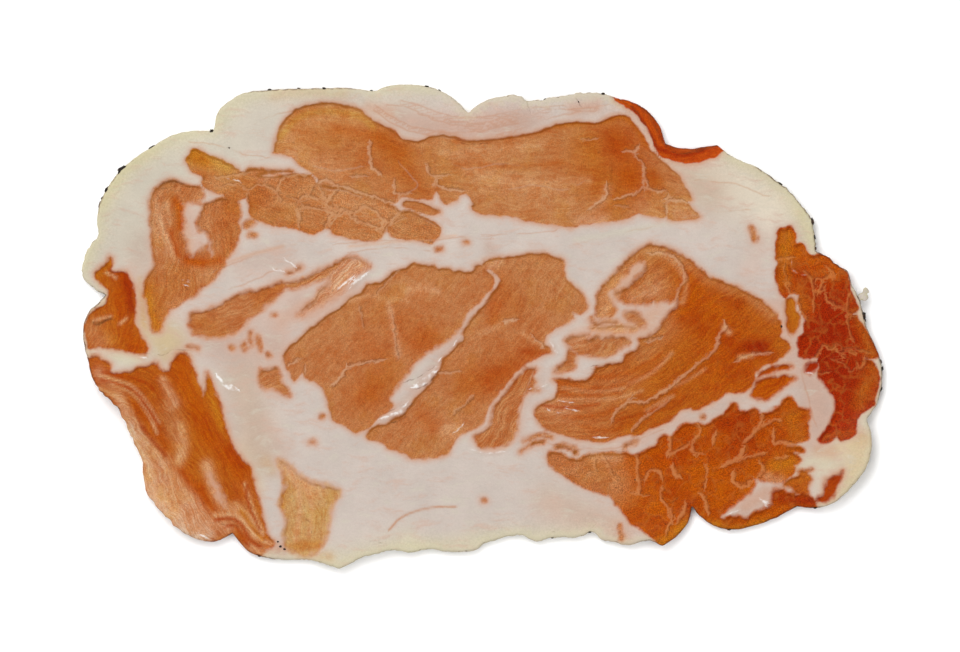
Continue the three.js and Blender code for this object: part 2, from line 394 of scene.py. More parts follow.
# the muscles that the knife crossed, as read off their edges
muscles = {
    "upper": [-31.3, 26.5, -30.3, 29.9, -28.6, 32.1, -27.5, 32.8, -24.3, 33.5, -20, 33, -18, 32.1,
        -16.3, 30.8, -13.2, 29.3, -12.5, 28.6, -11, 27.9, -8.8, 27.9, -8.3, 28.4, -6.3, 28.6, -4, 28.4,
        -2, 27.9, 3, 28.2, 9, 29.3, 11, 30.2, 13, 30.6, 17, 30.5, 18.6, 31.2, 21, 31.7, 21.8, 31.5,
        22.3, 31, 24.3, 28.5, 25, 26.7, 29.3, 22.7, 30.3, 20.9, 31.3, 19.6, 31.5, 19, 31, 18.9,
        30.7, 18.6, 32.5, 16.5, 31, 16.1, 28.2, 16, 27.8, 16.3, 27.6, 17, 27.2, 16.4, 23.9, 16.8,
        23.5, 17.2, 23, 17.1, 22.2, 16.4, 21, 16.1, 16, 15.4, 14.5, 15.5, 13.3, 14.9, 5.8, 16.1,
        5.3, 16.5, 0.5, 16.8, -1, 17.3, -1.6, 18.1, -1.2, 18.6, -2.2, 19.7, -3.1, 19.8, -3.6, 19.6,
        -4, 18.8, -5.4, 18.4, -6, 18.7, -6.6, 20, -7.2, 20.4, -7, 20, -7.6, 19.2, -8, 19, -12, 19.5,
        -13.8, 18.4, -20, 20.6, -22.3, 21.2, -24.5, 21.3, -24.7, 22, -25.4, 23, -27.7, 24.4, -28.6, 25.6,
        -31.1, 26.1],
    "leaf": [-11.9, 18.3, -11.6, 18.8, -10.3, 18.9, -7.5, 17.9, -6.4, 17.3, -6.5, 17, -8, 16.9,
        -11.5, 17.8],
    "band": [-44.4, 24.9, -43.9, 25.3, -43.7, 26.4, -42.6, 26.5, -41.2, 25.6, -39.4, 25, -36.7, 23.6,
        -36.5, 23, -35.6, 23, -35.2, 23.5, -34.2, 23.6, -29.5, 23.4, -28.5, 23.2, -27.4, 22.5,
        -25.8, 22.7, -25.3, 21.5, -24.7, 21.2, -20, 20.5, -15, 18.8, -12.2, 17.1, -11, 17.3, -8.3, 16.1,
        -6.6, 15, -6.4, 14.5, -6.6, 13.8, -7.6, 12.7, -8.3, 12.7, -10, 13.1, -12.8, 13.4, -14, 14.4,
        -14.2, 15.3, -15.2, 13.6, -15.9, 13.2, -17.2, 13, -21.8, 13.8, -22.8, 14.6, -23.8, 15, -25, 14.2,
        -26, 14.2, -27.8, 14.9, -31.4, 15.2, -34, 16, -34.9, 16.9, -35.2, 19.6, -37.4, 18.6, -38.4, 19.4,
        -38.8, 20, -39.6, 20.1, -41, 20.7, -41.6, 21.2, -41.9, 21.9, -41.7, 22.6, -43.5, 23.3],
    "ring": [-48.6, 21, -47.1, 21.9, -46.3, 22, -44.2, 21.2, -42.5, 20.9, -42, 20.2, -41.9, 19.6,
        -42.6, 19, -42, 18.2, -39.4, 19.2, -37.4, 19, -36.6, 18.2, -36.4, 16.6, -36.7, 12.9, -37.6, 11,
        -38.5, 10.2, -38.9, 9, -40.5, 7, -41.4, 6.2, -42.5, 5.7, -43, 4.8, -47.1, 2.3, -48, -0.4,
        -48.5, -0.8, -49.2, -0.6, -49.6, 0, -50.7, 5, -50.6, 6.4, -50.2, 7.5, -49.5, 8.6, -49.3, 10.5,
        -49.9, 17, -49.5, 19.7],
    "nub": [-55.8, 10.5, -56.5, 9.3, -57, 9.1, -58.1, 8, -58, 7.3, -57.5, 6.5, -56.3, 5.5, -56.2, 4.8,
        -56.3, 4, -57, 3.2, -58.5, 2.3, -59.2, 1.6, -59.6, 0.7, -59.8, -0.5, -59.3, -3, -58.9, -3.6,
        -56.8, -3.1, -51.4, -4.2, -50.6, -3.8, -50.3, -3.4, -50.3, -2.8, -52, -0.2, -52.2, 0.6, -52, 3.2,
        -52.4, 6.3, -53.2, 7.8, -54, 8.3, -55.5, 8.3, -55.8, 8.7, -55.4, 9.8],
    "flap": [-59.4, -4.9, -57.8, -4.3, -56.9, -5.1, -56, -5.5, -55.7, -6, -56, -6.8, -55, -7, -53, -6.7,
        -49.2, -5.4, -48.6, -5.8, -48.2, -6.4, -47.6, -6.6, -47, -6.5, -46.6, -5.3, -46, -4.3, -45.5, -4,
        -44.9, -4, -44.1, -4.5, -43.6, -6, -42.8, -7.4, -41.7, -10.7, -41.3, -6.9, -39.2, -12,
        -38.9, -13.5, -37.3, -18, -36.1, -19.8, -35.1, -20.7, -34.6, -21.8, -32.4, -30.7, -32, -31.7,
        -31.2, -32.4, -32.4, -33.6, -34, -34.6, -36, -34, -37.6, -31.2, -40.3, -32.7, -45.2, -31.4,
        -48.4, -28.2, -50.9, -25.2, -51.6, -20.5, -53.5, -15.5, -55.2, -12, -58.5, -9, -59.8, -6.5],
    "wedge": [-30.7, -20, -28.9, -21, -27, -22.7, -24.9, -23.7, -21.5, -24.7, -22.5, -26.7, -23.5, -31.5,
        -25.2, -33.8, -27.3, -34.4, -29.3, -33.4, -29.7, -31.3, -29.3, -28.6, -30.3, -26.7, -29.6, -24,
        -30, -21.6],
    "spindle": [-43.7, 1.8, -41.3, 2.4, -36, 5, -35, 5.3, -33.8, 5.3, -30.5, 6.6, -29.8, 6.6, -29.4, 6.1,
        -30.3, 4.9, -33, 2.6, -35, 1.3, -36, -0.3, -39.2, -1.7, -43.5, -1.1],
    "streakEdge": [-30.4, 6.6, -28.6, 6.6, -26, 7.5, -24.6, 8.5, -22.6, 9, -21.4, 9.9, -20.4, 9.6,
        -22.4, 7.7, -26.5, 6.3, -28.6, 5.7, -30, 5.8],
    "streakPatch": [-27.8, 1.6, -26.4, 2.4, -25.4, 3.6, -24.6, 5, -23.2, 6.6, -22.9, 8.4, -21, 10,
        -18.8, 10.3, -16.9, 9, -19, 7.9, -21.8, 4.9, -25.4, 2.7],
    "fragment": [-33.5, -6.4, -33.2, -6.7, -31, -6.3, -30.5, -6.7, -29.9, -8.7, -29.4, -9.2, -28.9, -10.3,
        -29.6, -10.3, -31.7, -9.2, -32.6, -9.3, -33.2, -8.8, -33.5, -8],
    "centreLeft": [-29.8, -5, -29.7, -4, -28.3, -2.5, -26.6, -1.2, -25.7, -0.2, -21.2, 3, -20.5, 3.8,
        -19.7, 4.4, -18.2, 5, -17.2, 6.2, -15.4, 6.5, -13.5, 8, -11.5, 8.7, -10.9, 9.2, -10.3, 9.4,
        -9.6, 9.1, -7.2, 9.1, -6.8, 8.7, -5, 8.6, -4.3, 8.1, -3.5, 8.3, -1.8, 8.1, -1.2, 9, -0.2, 9.4,
        0.4, 8.4, 1.7, 7.2, 1.2, 5.5, -2.3, 2.1, -4.2, -1.2, -8.7, -4, -9.9, -5.2, -11, -6.4, -11.9, -7.8,
        -13.5, -10, -13.9, -11.2, -13.4, -12, -16, -14, -16.5, -14.6, -18.4, -15.8, -19.3, -15.7,
        -21, -14.6, -21.9, -14.3, -22.6, -13.7, -23.1, -11.4, -23.9, -9.4, -24.5, -8.8, -26.7, -7.6,
        -27, -6.8, -28.1, -8, -28.6, -7.6],
    "centre": [0.3, 9.9, 8, 10.95, 9.5, 10.8, 11.8, 10, 12.2, 9.6, 12.5, 7, 14.9, 4.9, 15.7, 3.2,
        15.5, 2.6, 14.8, 2.2, 13.4, 2.1, 13.6, 1.3, 12.8, 0.6, 10.8, -0.4, 9.9, -1.2, 9.4, -2, 9.3, -2.8,
        10.3, -3.8, 6, -5.8, 1, -12, 0.1, -14.3, -0.8, -15, -3.2, -16, -4.7, -17.7, -5, -18.6,
        -5.6, -19.2, -9, -19.8, -10.8, -19.7, -11.7, -19.1, -14.2, -18.2, -14.8, -17.5, -17, -16.8,
        -17.3, -16, -16.5, -15.2, -15, -14.8, -13.5, -14, -11.6, -12.9, -9.3, -10, -6.7, -7.2, -5.8, -4.9,
        -2.7, -1.9, -2.9, -1, -1.7, 1, 2.4, 6, 2.5, 7.5, 1.6, 8.2, 0.5, 8.7],
    "strip": [7.7, -6.3, 6.5, -6.3, 5.8, -6.9, 2.1, -11.6, 1.6, -12.7, 1.2, -14.9, 0.3, -15.6,
        -1.3, -16.3, -1, -17.4, -0.4, -18, 1.8, -18.3, 3, -18, 4.5, -16.8, 5.1, -15.7, 5.3, -14.5,
        5.2, -13.3, 5.4, -12, 5.8, -11, 6.4, -10.2, 7.3, -9.7, 8.4, -9.6, 7.7, -9, 7.8, -8.3, 7.6, -7.3,
        8, -6.6],
    "shoulder": [17.2, 1.6, 17.2, 4.3, 17.7, 5.4, 19, 7.2, 24, 12, 25.9, 12.2, 28.4, 11.4, 31.6, 9.6,
        34, 7.4, 38, 5.9, 41.7, 3.9, 44, 1.9, 44.2, 1, 44.8, 0.4, 44.9, -0.6, 44.6, -1.4, 45.6, -2.2,
        46.1, -3.2, 45.6, -3.9, 44, -5.3, 42, -5.8, 41.3, -6.4, 40.9, -7, 40.5, -9.1, 38.5, -9.8,
        37, -9.9, 35.6, -10.5, 32.5, -12.4, 31, -12.2, 29.5, -12.7, 28, -14, 24.5, -15.6, 23.7, -16.2,
        21.5, -16.3, 18.5, -17.1, 16.5, -17.2, 12.6, -16.3, 9.6, -15.2, 8.4, -14.4, 7.9, -13, 8.2, -12.1,
        10.3, -11, 11, -10.4, 11.3, -9.5, 11.2, -8.6, 10.5, -8, 11.5, -7.8, 13.8, -8.2, 15.3, -8,
        16.3, -7.4, 17.2, -6.2, 18.7, -5.7, 20.5, -5.5, 21.3, -5, 21.5, -4.3, 23.1, -3.5, 23.6, -2.6,
        23.5, -1.9, 24.6, -1.6, 26, -0.7, 26.9, 0.3, 27.8, 1.9, 29.2, 3, 29.4, 4.2, 28.2, 3.7, 27.2, 4,
        26.2, 3.4, 25.5, 4.4, 25, 3.4, 24, 3.5, 24.4, 4.4, 23.8, 3.3, 21.7, 3.5, 20.6, 4.2, 20, 4.9,
        20.3, 5.2, 21.2, 5.4, 24, 8, 24.4, 9.6, 22.5, 9.5, 21.5, 7.8, 19, 5.6, 18.8, 4.6, 20.2, 2.5,
        19, 1.6],
    "isletLong": [12.4, -2.3, 13.4, -1.6, 16.2, -1.1, 15.3, -1.7, 16, -2.1, 17.3, -1.5, 18.1, -1.7,
        21.2, -1.5, 22.1, -2.2, 22, -2.7, 20.5, -3.4, 19.5, -4.2, 18, -4.5, 14.8, -4.3],
    "isletLow": [13, -3, 13.9, -4, 14, -5.4, 13.6, -6.4, 10.7, -7, 12.6, -5],
    "isletHigh": [21.6, 2.3, 22.8, 2.2, 23.6, 1.6, 24.3, 0.8, 24.2, 0, 23.6, -0.2, 23, 0.5, 22, 0.9,
        21.4, 1.6],
    "isletThread": [16.2, -0.3, 20.5, 0.1, 23.2, -0.3, 22, -0.7, 20, -0.8, 17.8, -0.7],
    "lumpHigh": [45.5, -5.7, 46.3, -5.8, 45.9, -6.4, 42, -7.3, 41.3, -7.7, 41.6, -6.9, 42.5, -6.4],
    "lumpLow": [46, -7.5, 46.8, -7.6, 46.4, -8.2, 42.8, -10.9, 40.6, -10.7, 40.3, -9.8, 40.8, -8.8,
        41.8, -8, 43.6, -7.5, 45, -7.2],
    "neck": [10.2, -18.9, 9.9, -19.6, 10.3, -20.5, 11, -21.3, 14.5, -23.7, 19.1, -25.3, 20, -26.5,
        20.8, -27, 22, -29, 22.5, -29.5, 24.1, -30.4, 24.5, -31, 25.6, -31.6, 27.5, -33.6, 29.6, -31.8,
        31.3, -29.6, 31.3, -27.4, 31.5, -26.4, 32, -28.2, 34.4, -30.3, 38, -31.2, 41.2, -30.8,
        44.4, -29.8, 47.4, -28.2, 49.8, -28.2, 50, -26.5, 49, -25.6, 48.2, -25.3, 45.8, -25.2,
        45.2, -24.7, 44, -24.7, 43.4, -25, 43.4, -26.7, 41, -28, 40, -28.9, 38.5, -28.6, 36.2, -28.9,
        35.7, -28.2, 37.5, -26.9, 38.8, -25.5, 40, -24.9, 41, -22.8, 44.2, -23.2, 46.5, -22, 46.9, -21.2,
        46.7, -20.7, 47.6, -20, 46.4, -18.9, 45.6, -19.1, 46.4, -18.6, 48.1, -18.8, 47.5, -18.2,
        45.5, -17.9, 46, -17.4, 48.2, -17, 48.6, -16.5, 48.9, -15, 48.7, -14.3, 49.1, -13.1, 48.6, -12.4,
        47.3, -12.3, 46.6, -11.3, 45.8, -10.7, 45, -11.3, 44.3, -12.3, 41.6, -13.4, 41.2, -12.7,
        40.6, -12.5, 40.2, -12.9, 39, -13, 38.4, -12.7, 38, -11.8, 37.3, -11.9, 36.3, -13.4, 35.3, -13.7,
        33.5, -14.9, 30.7, -14.7, 29.5, -15.3, 28.4, -17, 28, -16.6, 27.3, -16.4, 26.6, -16.8, 26, -18,
        23.3, -19.2, 22.2, -19.3, 21, -19, 15.8, -19.3, 14.8, -19.9, 13, -20, 11.8, -19.2],
    "neckTuft": [47.4, -21.6, 48.4, -21.7, 49.4, -21.5, 48.6, -21.9, 49.3, -22.9, 48.5, -24, 48.7, -25,
        48, -25.3, 47, -25.1, 46.6, -24.2, 46, -23.9, 45.3, -24, 45.6, -23.2, 46.3, -22.7, 47.1, -22.8,
        47.7, -22.3],
    "neckTip": [51.5, -22.8, 52.2, -22.8, 52.7, -22.2, 53.6, -22, 54, -21.6, 54, -22.4, 53.1, -23.8,
        52.9, -25.2, 52.4, -25.9, 50, -26.5, 50.3, -25.7, 51.2, -25],
    "cheek": [44.8, 14.6, 45.5, 14.3, 46.2, 14.8, 46.8, 13.9, 46.7, 12.8, 47, 12.2, 47.7, 12.3,
        48.3, 11.9, 48.5, 11.2, 48.9, 10.7, 49.6, 10.5, 51, 10.9, 51.8, 10.5, 54.6, 8, 55.1, 5.4,
        56.1, 3.3, 56.1, 2.5, 55.3, 2, 55.2, 1.3, 56, 1.4, 58.9, -3.5, 59.3, -4.6, 57.8, -4.6, 55.9, -5,
        58.4, -5.4, 59, -6.4, 59.3, -7.6, 59.2, -8.5, 58.6, -11.6, 56.6, -13, 55.9, -14.3, 55.9, -16,
        54, -16.9, 53.2, -16.2, 52, -17.2, 51.3, -17.4, 50.6, -17, 51.8, -15.4, 52.8, -13, 52.9, -11,
        51.5, -8.6, 50.6, -7.5, 50.3, -4.5, 49, -4.7, 47.7, -4.2, 47.6, -1.7, 48.8, -1.3, 48.3, -1,
        48.4, -0.4, 48.2, 0.2, 48.7, 1.1, 48.2, 1.7, 47.7, 3.5, 47.7, 5, 46, 5.2, 45.5, 4.5, 45, 5,
        44.2, 6.8, 44.1, 8, 44.6, 9.6, 44.1, 10.2, 44.4, 14],
    "cheekBean": [46.3, 4.5, 45.7, 4.2, 45.4, 3, 45.6, 0.8, 45.9, -0.4, 46.4, -1.1, 46.9, -1, 47.6, 1.1,
        47.4, 2, 47, 2.5, 47.1, 3.5, 46.9, 4.3],
    "cheekLump": [48.5, -6.6, 48.6, -5.6, 49.4, -5.2, 50.2, -5.4, 50.5, -6, 50, -6.5, 49.2, -6.9],
    "rimStrip": [19.9, 33.8, 22, 32.7, 24.4, 30.3, 25.7, 27.2, 26.3, 26.2, 27.2, 25.3, 30, 24.6,
        31.7, 24.5, 35, 25.5, 36.2, 26.6, 35.5, 28.4, 34.4, 28.9, 31, 28.4, 29, 29, 28.2, 31.2,
        25.8, 34.2, 22.2, 35.8, 20, 35.2],
}

# islands of fat inside them
gaps = {
    "ringCore": [-43.4, 18.9, -44.4, 18.4, -44.8, 17.5, -45.1, 14, -44.5, 13, -44.4, 12, -43.5, 10.2,
        -42.4, 11.3, -41.2, 12.1, -40.6, 10.6, -40.4, 11.5, -40.6, 12.6, -41.3, 14.2, -42.2, 14.4,
        -42.5, 14.8, -42.6, 15.9, -41.9, 17.7, -42.4, 18.6],
    "bandGap": [-33.8, 22.7, -31.8, 23.1, -28.6, 23.3, -27.6, 23, -31.4, 22.5],
    "flapPocket": [-41.2, -21.8, -40.6, -24, -39.7, -26, -38.9, -27, -38.4, -26.9, -40, -23],
    "cheekBlob": [45.8, 10.2, 46.4, 10.3, 46.6, 9.1, 47.3, 8.3, 47.9, 8, 48.5, 8, 49, 7.4, 46.6, 7.9,
        46.2, 8.6],
}

# veins of fat: width and line
veins = [
    (0.35, [-39.9, 22.3, -35.5, 22.9]), (0.35, [-30.7, 20.5, -30.2, 21.9, -29, 22.6, -26.3, 22.7]),
    (0.3, [-27.7, 18.5, -26.8, 19.5, -25, 19.2, -23.6, 18.5, -23.1, 17.5]),
    (0.35, [-27.7, 17.4, -26, 17.8, -23.6, 17.4, -21.9, 16.4]),
    (0.4, [-23.1, 15.1, -21.9, 16.4, -20.2, 16.8, -18.8, 15.7, -17.1, 15.4, -15.1, 14]),
    (0.35, [-19.2, 16.8, -18.2, 17.8, -16.5, 17.6, -15.4, 16.4, -14.1, 15.4]),
    (0.35, [-21.9, 20.5, -22.9, 19.5, -23.3, 18.1, -21.6, 17.4, -19.5, 17.1]),
    (0.3, [-25, 21.5, -23.6, 19.1]), (0.3, [-35.4, 20, -33.6, 21.2, -31.4, 20.6, -30.4, 19]),
    (0.4, [-24.7, 21.4, -23.2, 21.9, -22.3, 21.2, -20, 20.7, -15.2, 18.9, -14.2, 18.8, -12.6, 18]),
    (0.35, [-23.7, 14.8, -22, 17.4, -19.5, 16.4, -18.5, 15.6, -17, 15.3, -15.6, 14.7]),
    (0.3, [-14.5, 14.3, -14, 15.2, -12.8, 15.8, -11.5, 16.1]), (0.25, [-21.8, 17.5, -22.4, 18.3]),
    (0.3, [-27.9, 17.5, -27.5, 15]), (0.2, [-28.3, 19.3, -26.3, 17.7]), (0.2, [-25.3, 21, -26.5, 19]),
    (0.2, [-24, 20, -23.2, 18]), (0.4, [-20.5, -6, -14.6, -4.9]),
    (0.5, [-20.5, -6, -21.6, -8, -22.3, -8.7]), (0.35, [-29, -5.8, -27.5, -5]),
    (0.3, [-26.6, -6.8, -26.5, -5.8]), (0.2, [-18.4, 3, -18, 0]), (0.2, [-13.6, 1.5, -12.7, -4.5]),
    (0.3, [-6.5, -7.1, -3.5, -6.8]), (0.35, [7.5, -1.5, 9, -3]), (0.4, [3.5, 0.7, 5, 1]),
    (0.25, [-1.6, -10.5, -3, -12, -4.3, -13]),
    (0.45, [36.3, 0.5, 36.4, -0.3, 35.6, -1, 35, -3.2, 33, -5, 27.5, -9.5, 24.5, -11.3, 22.3, -11.2,
        20.5, -12.2, 19.7, -13, 19.3, -14.2]), (0.35, [22.6, -10.4, 21, -11.8]),
    (0.35, [28, -11, 23.6, -14.3, 22.5, -15.5]),
    (0.4, [25, 11, 28.5, 10.5, 30.5, 7.5, 29.5, 5.8, 28.9, 3.3]), (0.4, [40.6, -4.2, 43, -4]),
    (0.35, [38, -5.3, 39.6, -4.5]), (0.4, [24.8, -2.2, 26.8, -1.6]), (0.45, [23, -19.2, 23.5, -25]),
    (0.3, [22.5, -25, 24.8, -25.3]), (0.35, [17, -19.4, 16.8, -21.5]), (0.35, [18, -19.4, 19.4, -22]),
    (0.6, [28.2, -16.7, 27.8, -19.3]),
    (0.4, [24.3, -23, 25, -21.9, 25.8, -21.6, 26.4, -21.8, 26.8, -22.8]),
    (0.7, [28.6, -21, 28.8, -22, 29.4, -22.6]),
    (0.4, [26.9, -24.3, 26.6, -25, 26.8, -25.9, 27.5, -26.6, 27.9, -28.3]),
    (0.4, [28.2, -27.4, 28.5, -28.5, 27.6, -31]), (0.55, [30.3, -26.7, 30.1, -27.8, 29.3, -29.2]),
    (0.55, [32.7, -25.2, 33.3, -26, 33.8, -28]), (0.4, [33.3, -24, 33.8, -21.5, 33.5, -20.9]),
    (0.6, [37.6, -22, 37.5, -23, 38.2, -23.8, 39.5, -23.9, 40.3, -23.3]),
    (0.55, [41.9, -13.3, 41.4, -15, 39.4, -17.2]), (0.4, [44.5, -14, 43.5, -14, 41.6, -15.1]),
    (0.5, [43.6, -15.7, 43.7, -17.6, 44.5, -17.3, 46, -17.5]),
    (0.7, [39.2, -18.5, 38.3, -19.8, 36.2, -20.8]), (0.4, [42.3, -19, 39.5, -19.7, 38.6, -20.2]),
    (0.5, [34.9, -16.2, 34.5, -17.5]),
    (0.4, [32.2, -14.7, 32.6, -15.4, 32.5, -16.3, 31.6, -17.2, 31.5, -18.5, 31.8, -19.3]),
    (0.4, [28, -19.4, 30.9, -17.8]), (0.35, [31.7, -19, 33, -19.2]),
    (0.4, [41.7, -20.4, 42.2, -21.3, 41.4, -22.5]), (0.4, [45.5, -19.5, 44.2, -19.8]),
    (0.45, [44.6, 10, 46.4, 10.3]), (0.35, [48.4, 8.1, 49.5, 6.2, 49.6, 2.5]),
    (0.4, [50, 7, 50.7, 6.9, 50.9, 6.3, 50.4, 5.4, 51.2, 5.2, 51.3, 5.8]),
    (0.45, [51, 7, 51.8, 7.6, 52.2, 7.7, 52.7, 7.1, 53, 7.5]), (0.35, [51.6, 9, 52.6, 7.9]),
    (0.45, [51.3, 4.6, 51.6, 3.9, 52.2, 3.5, 52.6, 2.9]),
    (0.3, [55, 4.9, 54.6, 2.2, 55.1, -1, 55.5, -2.2]),
    (0.35, [50, -4.7, 51.2, -2.8, 52, -3.3, 52.8, -3.3, 53.2, -2.8]), (0.35, [53.2, -3.5, 54, -4.5]),
    (0.3, [53.9, -3.9, 55, -3.7, 55.9, -4.2, 56, -3.5]),
    (0.4, [57.3, -4.8, 57.2, -5.8, 56.5, -6.2, 56.3, -5.6]), (0.4, [47.3, 4.4, 47.9, 2, 48.4, 1.3]),
    (0.4, [45.3, 6.4, 46.2, 5, 46.7, 5]), (0.25, [45.2, 9, 45.6, 7, 46, 6.6]),
    (0.3, [50.2, -7.2, 51.8, -6.9]), (0.4, [21.2, 26.2, 22.2, 26.3, 22.9, 26.1, 23.4, 27]),
    (0.35, [22.9, 26.1, 23.2, 25.3, 23.9, 24.5, 24.2, 23.3, 24.3, 22.2, 24.1, 21, 23.3, 20.3, 21.5, 19.5,
        20, 19.2]), (0.35, [24.3, 22.3, 24.7, 21.4, 24.7, 20.6, 26.3, 20.3, 27.2, 20.4]),
    (0.45, [18.5, 21.3, 18.4, 20.5, 18.9, 20, 17.5, 18.7, 16, 17.7]),
    (0.4, [27.5, 19, 28.5, 19, 30.5, 18.6]), (0.35, [27.6, 17, 27.6, 18, 28, 19.7]),
    (0.25, [20, 18, 21.5, 18]), (0.25, [15, 28, 17, 28.2]),
    (0.45, [-17, 27.5, -17, 26, -16.5, 23.8, -15.5, 23]), (0.3, [-19.5, 22.6, -17.3, 22.6]),
    (0.35, [-8.3, 24, -8, 23, -7.3, 22.6, -5.2, 22.6]),
    (0.35, [-7, 22.5, -6.9, 21.6, -7.2, 21, -6.2, 20.9, -5.7, 20.6, -4.5, 20.6, -3, 20.3]),
    (0.35, [-13.2, 21.9, -13.4, 20.3, -12.6, 19.9, -11, 19.9]),
    (0.5, [-12.6, 19.9, -12.4, 18.9, -12.6, 18.1]), (0.28, [-16.1, 19.1, -14.1, 18.5, -12.7, 17.1]),
    (0.35, [-14, 15.2, -13.4, 16.4, -12, 17.3]), (0.25, [-38.6, 21, -37, 21.3, -35.4, 20.4, -35.2, 18.6]),
    (0.2, [44.2, 9.9, 45.2, 10.3, 46, 10.2]), (0.22, [52.9, -2.8, 53.6, -2.6, 54.2, -3.4, 55.2, -3.2]),
    (0.2, [56, -3.3, 58.2, -4]), (0.25, [52.4, 3.4, 56.3, 1.3]),
    (0.22, [52.4, -5, 54, -5.6, 55.1, -6.7, 56.3, -5.8]), (0.55, [-22.6, 17.1, -22, 16.6]),
    (0.5, [-27.6, 17, -27.4, 16]), (0.5, [-15.2, 14.6, -14.9, 15.4]),
    (0.25, [-15.8, 5, -13.6, 7.4, -12.6, 8.2]),
]

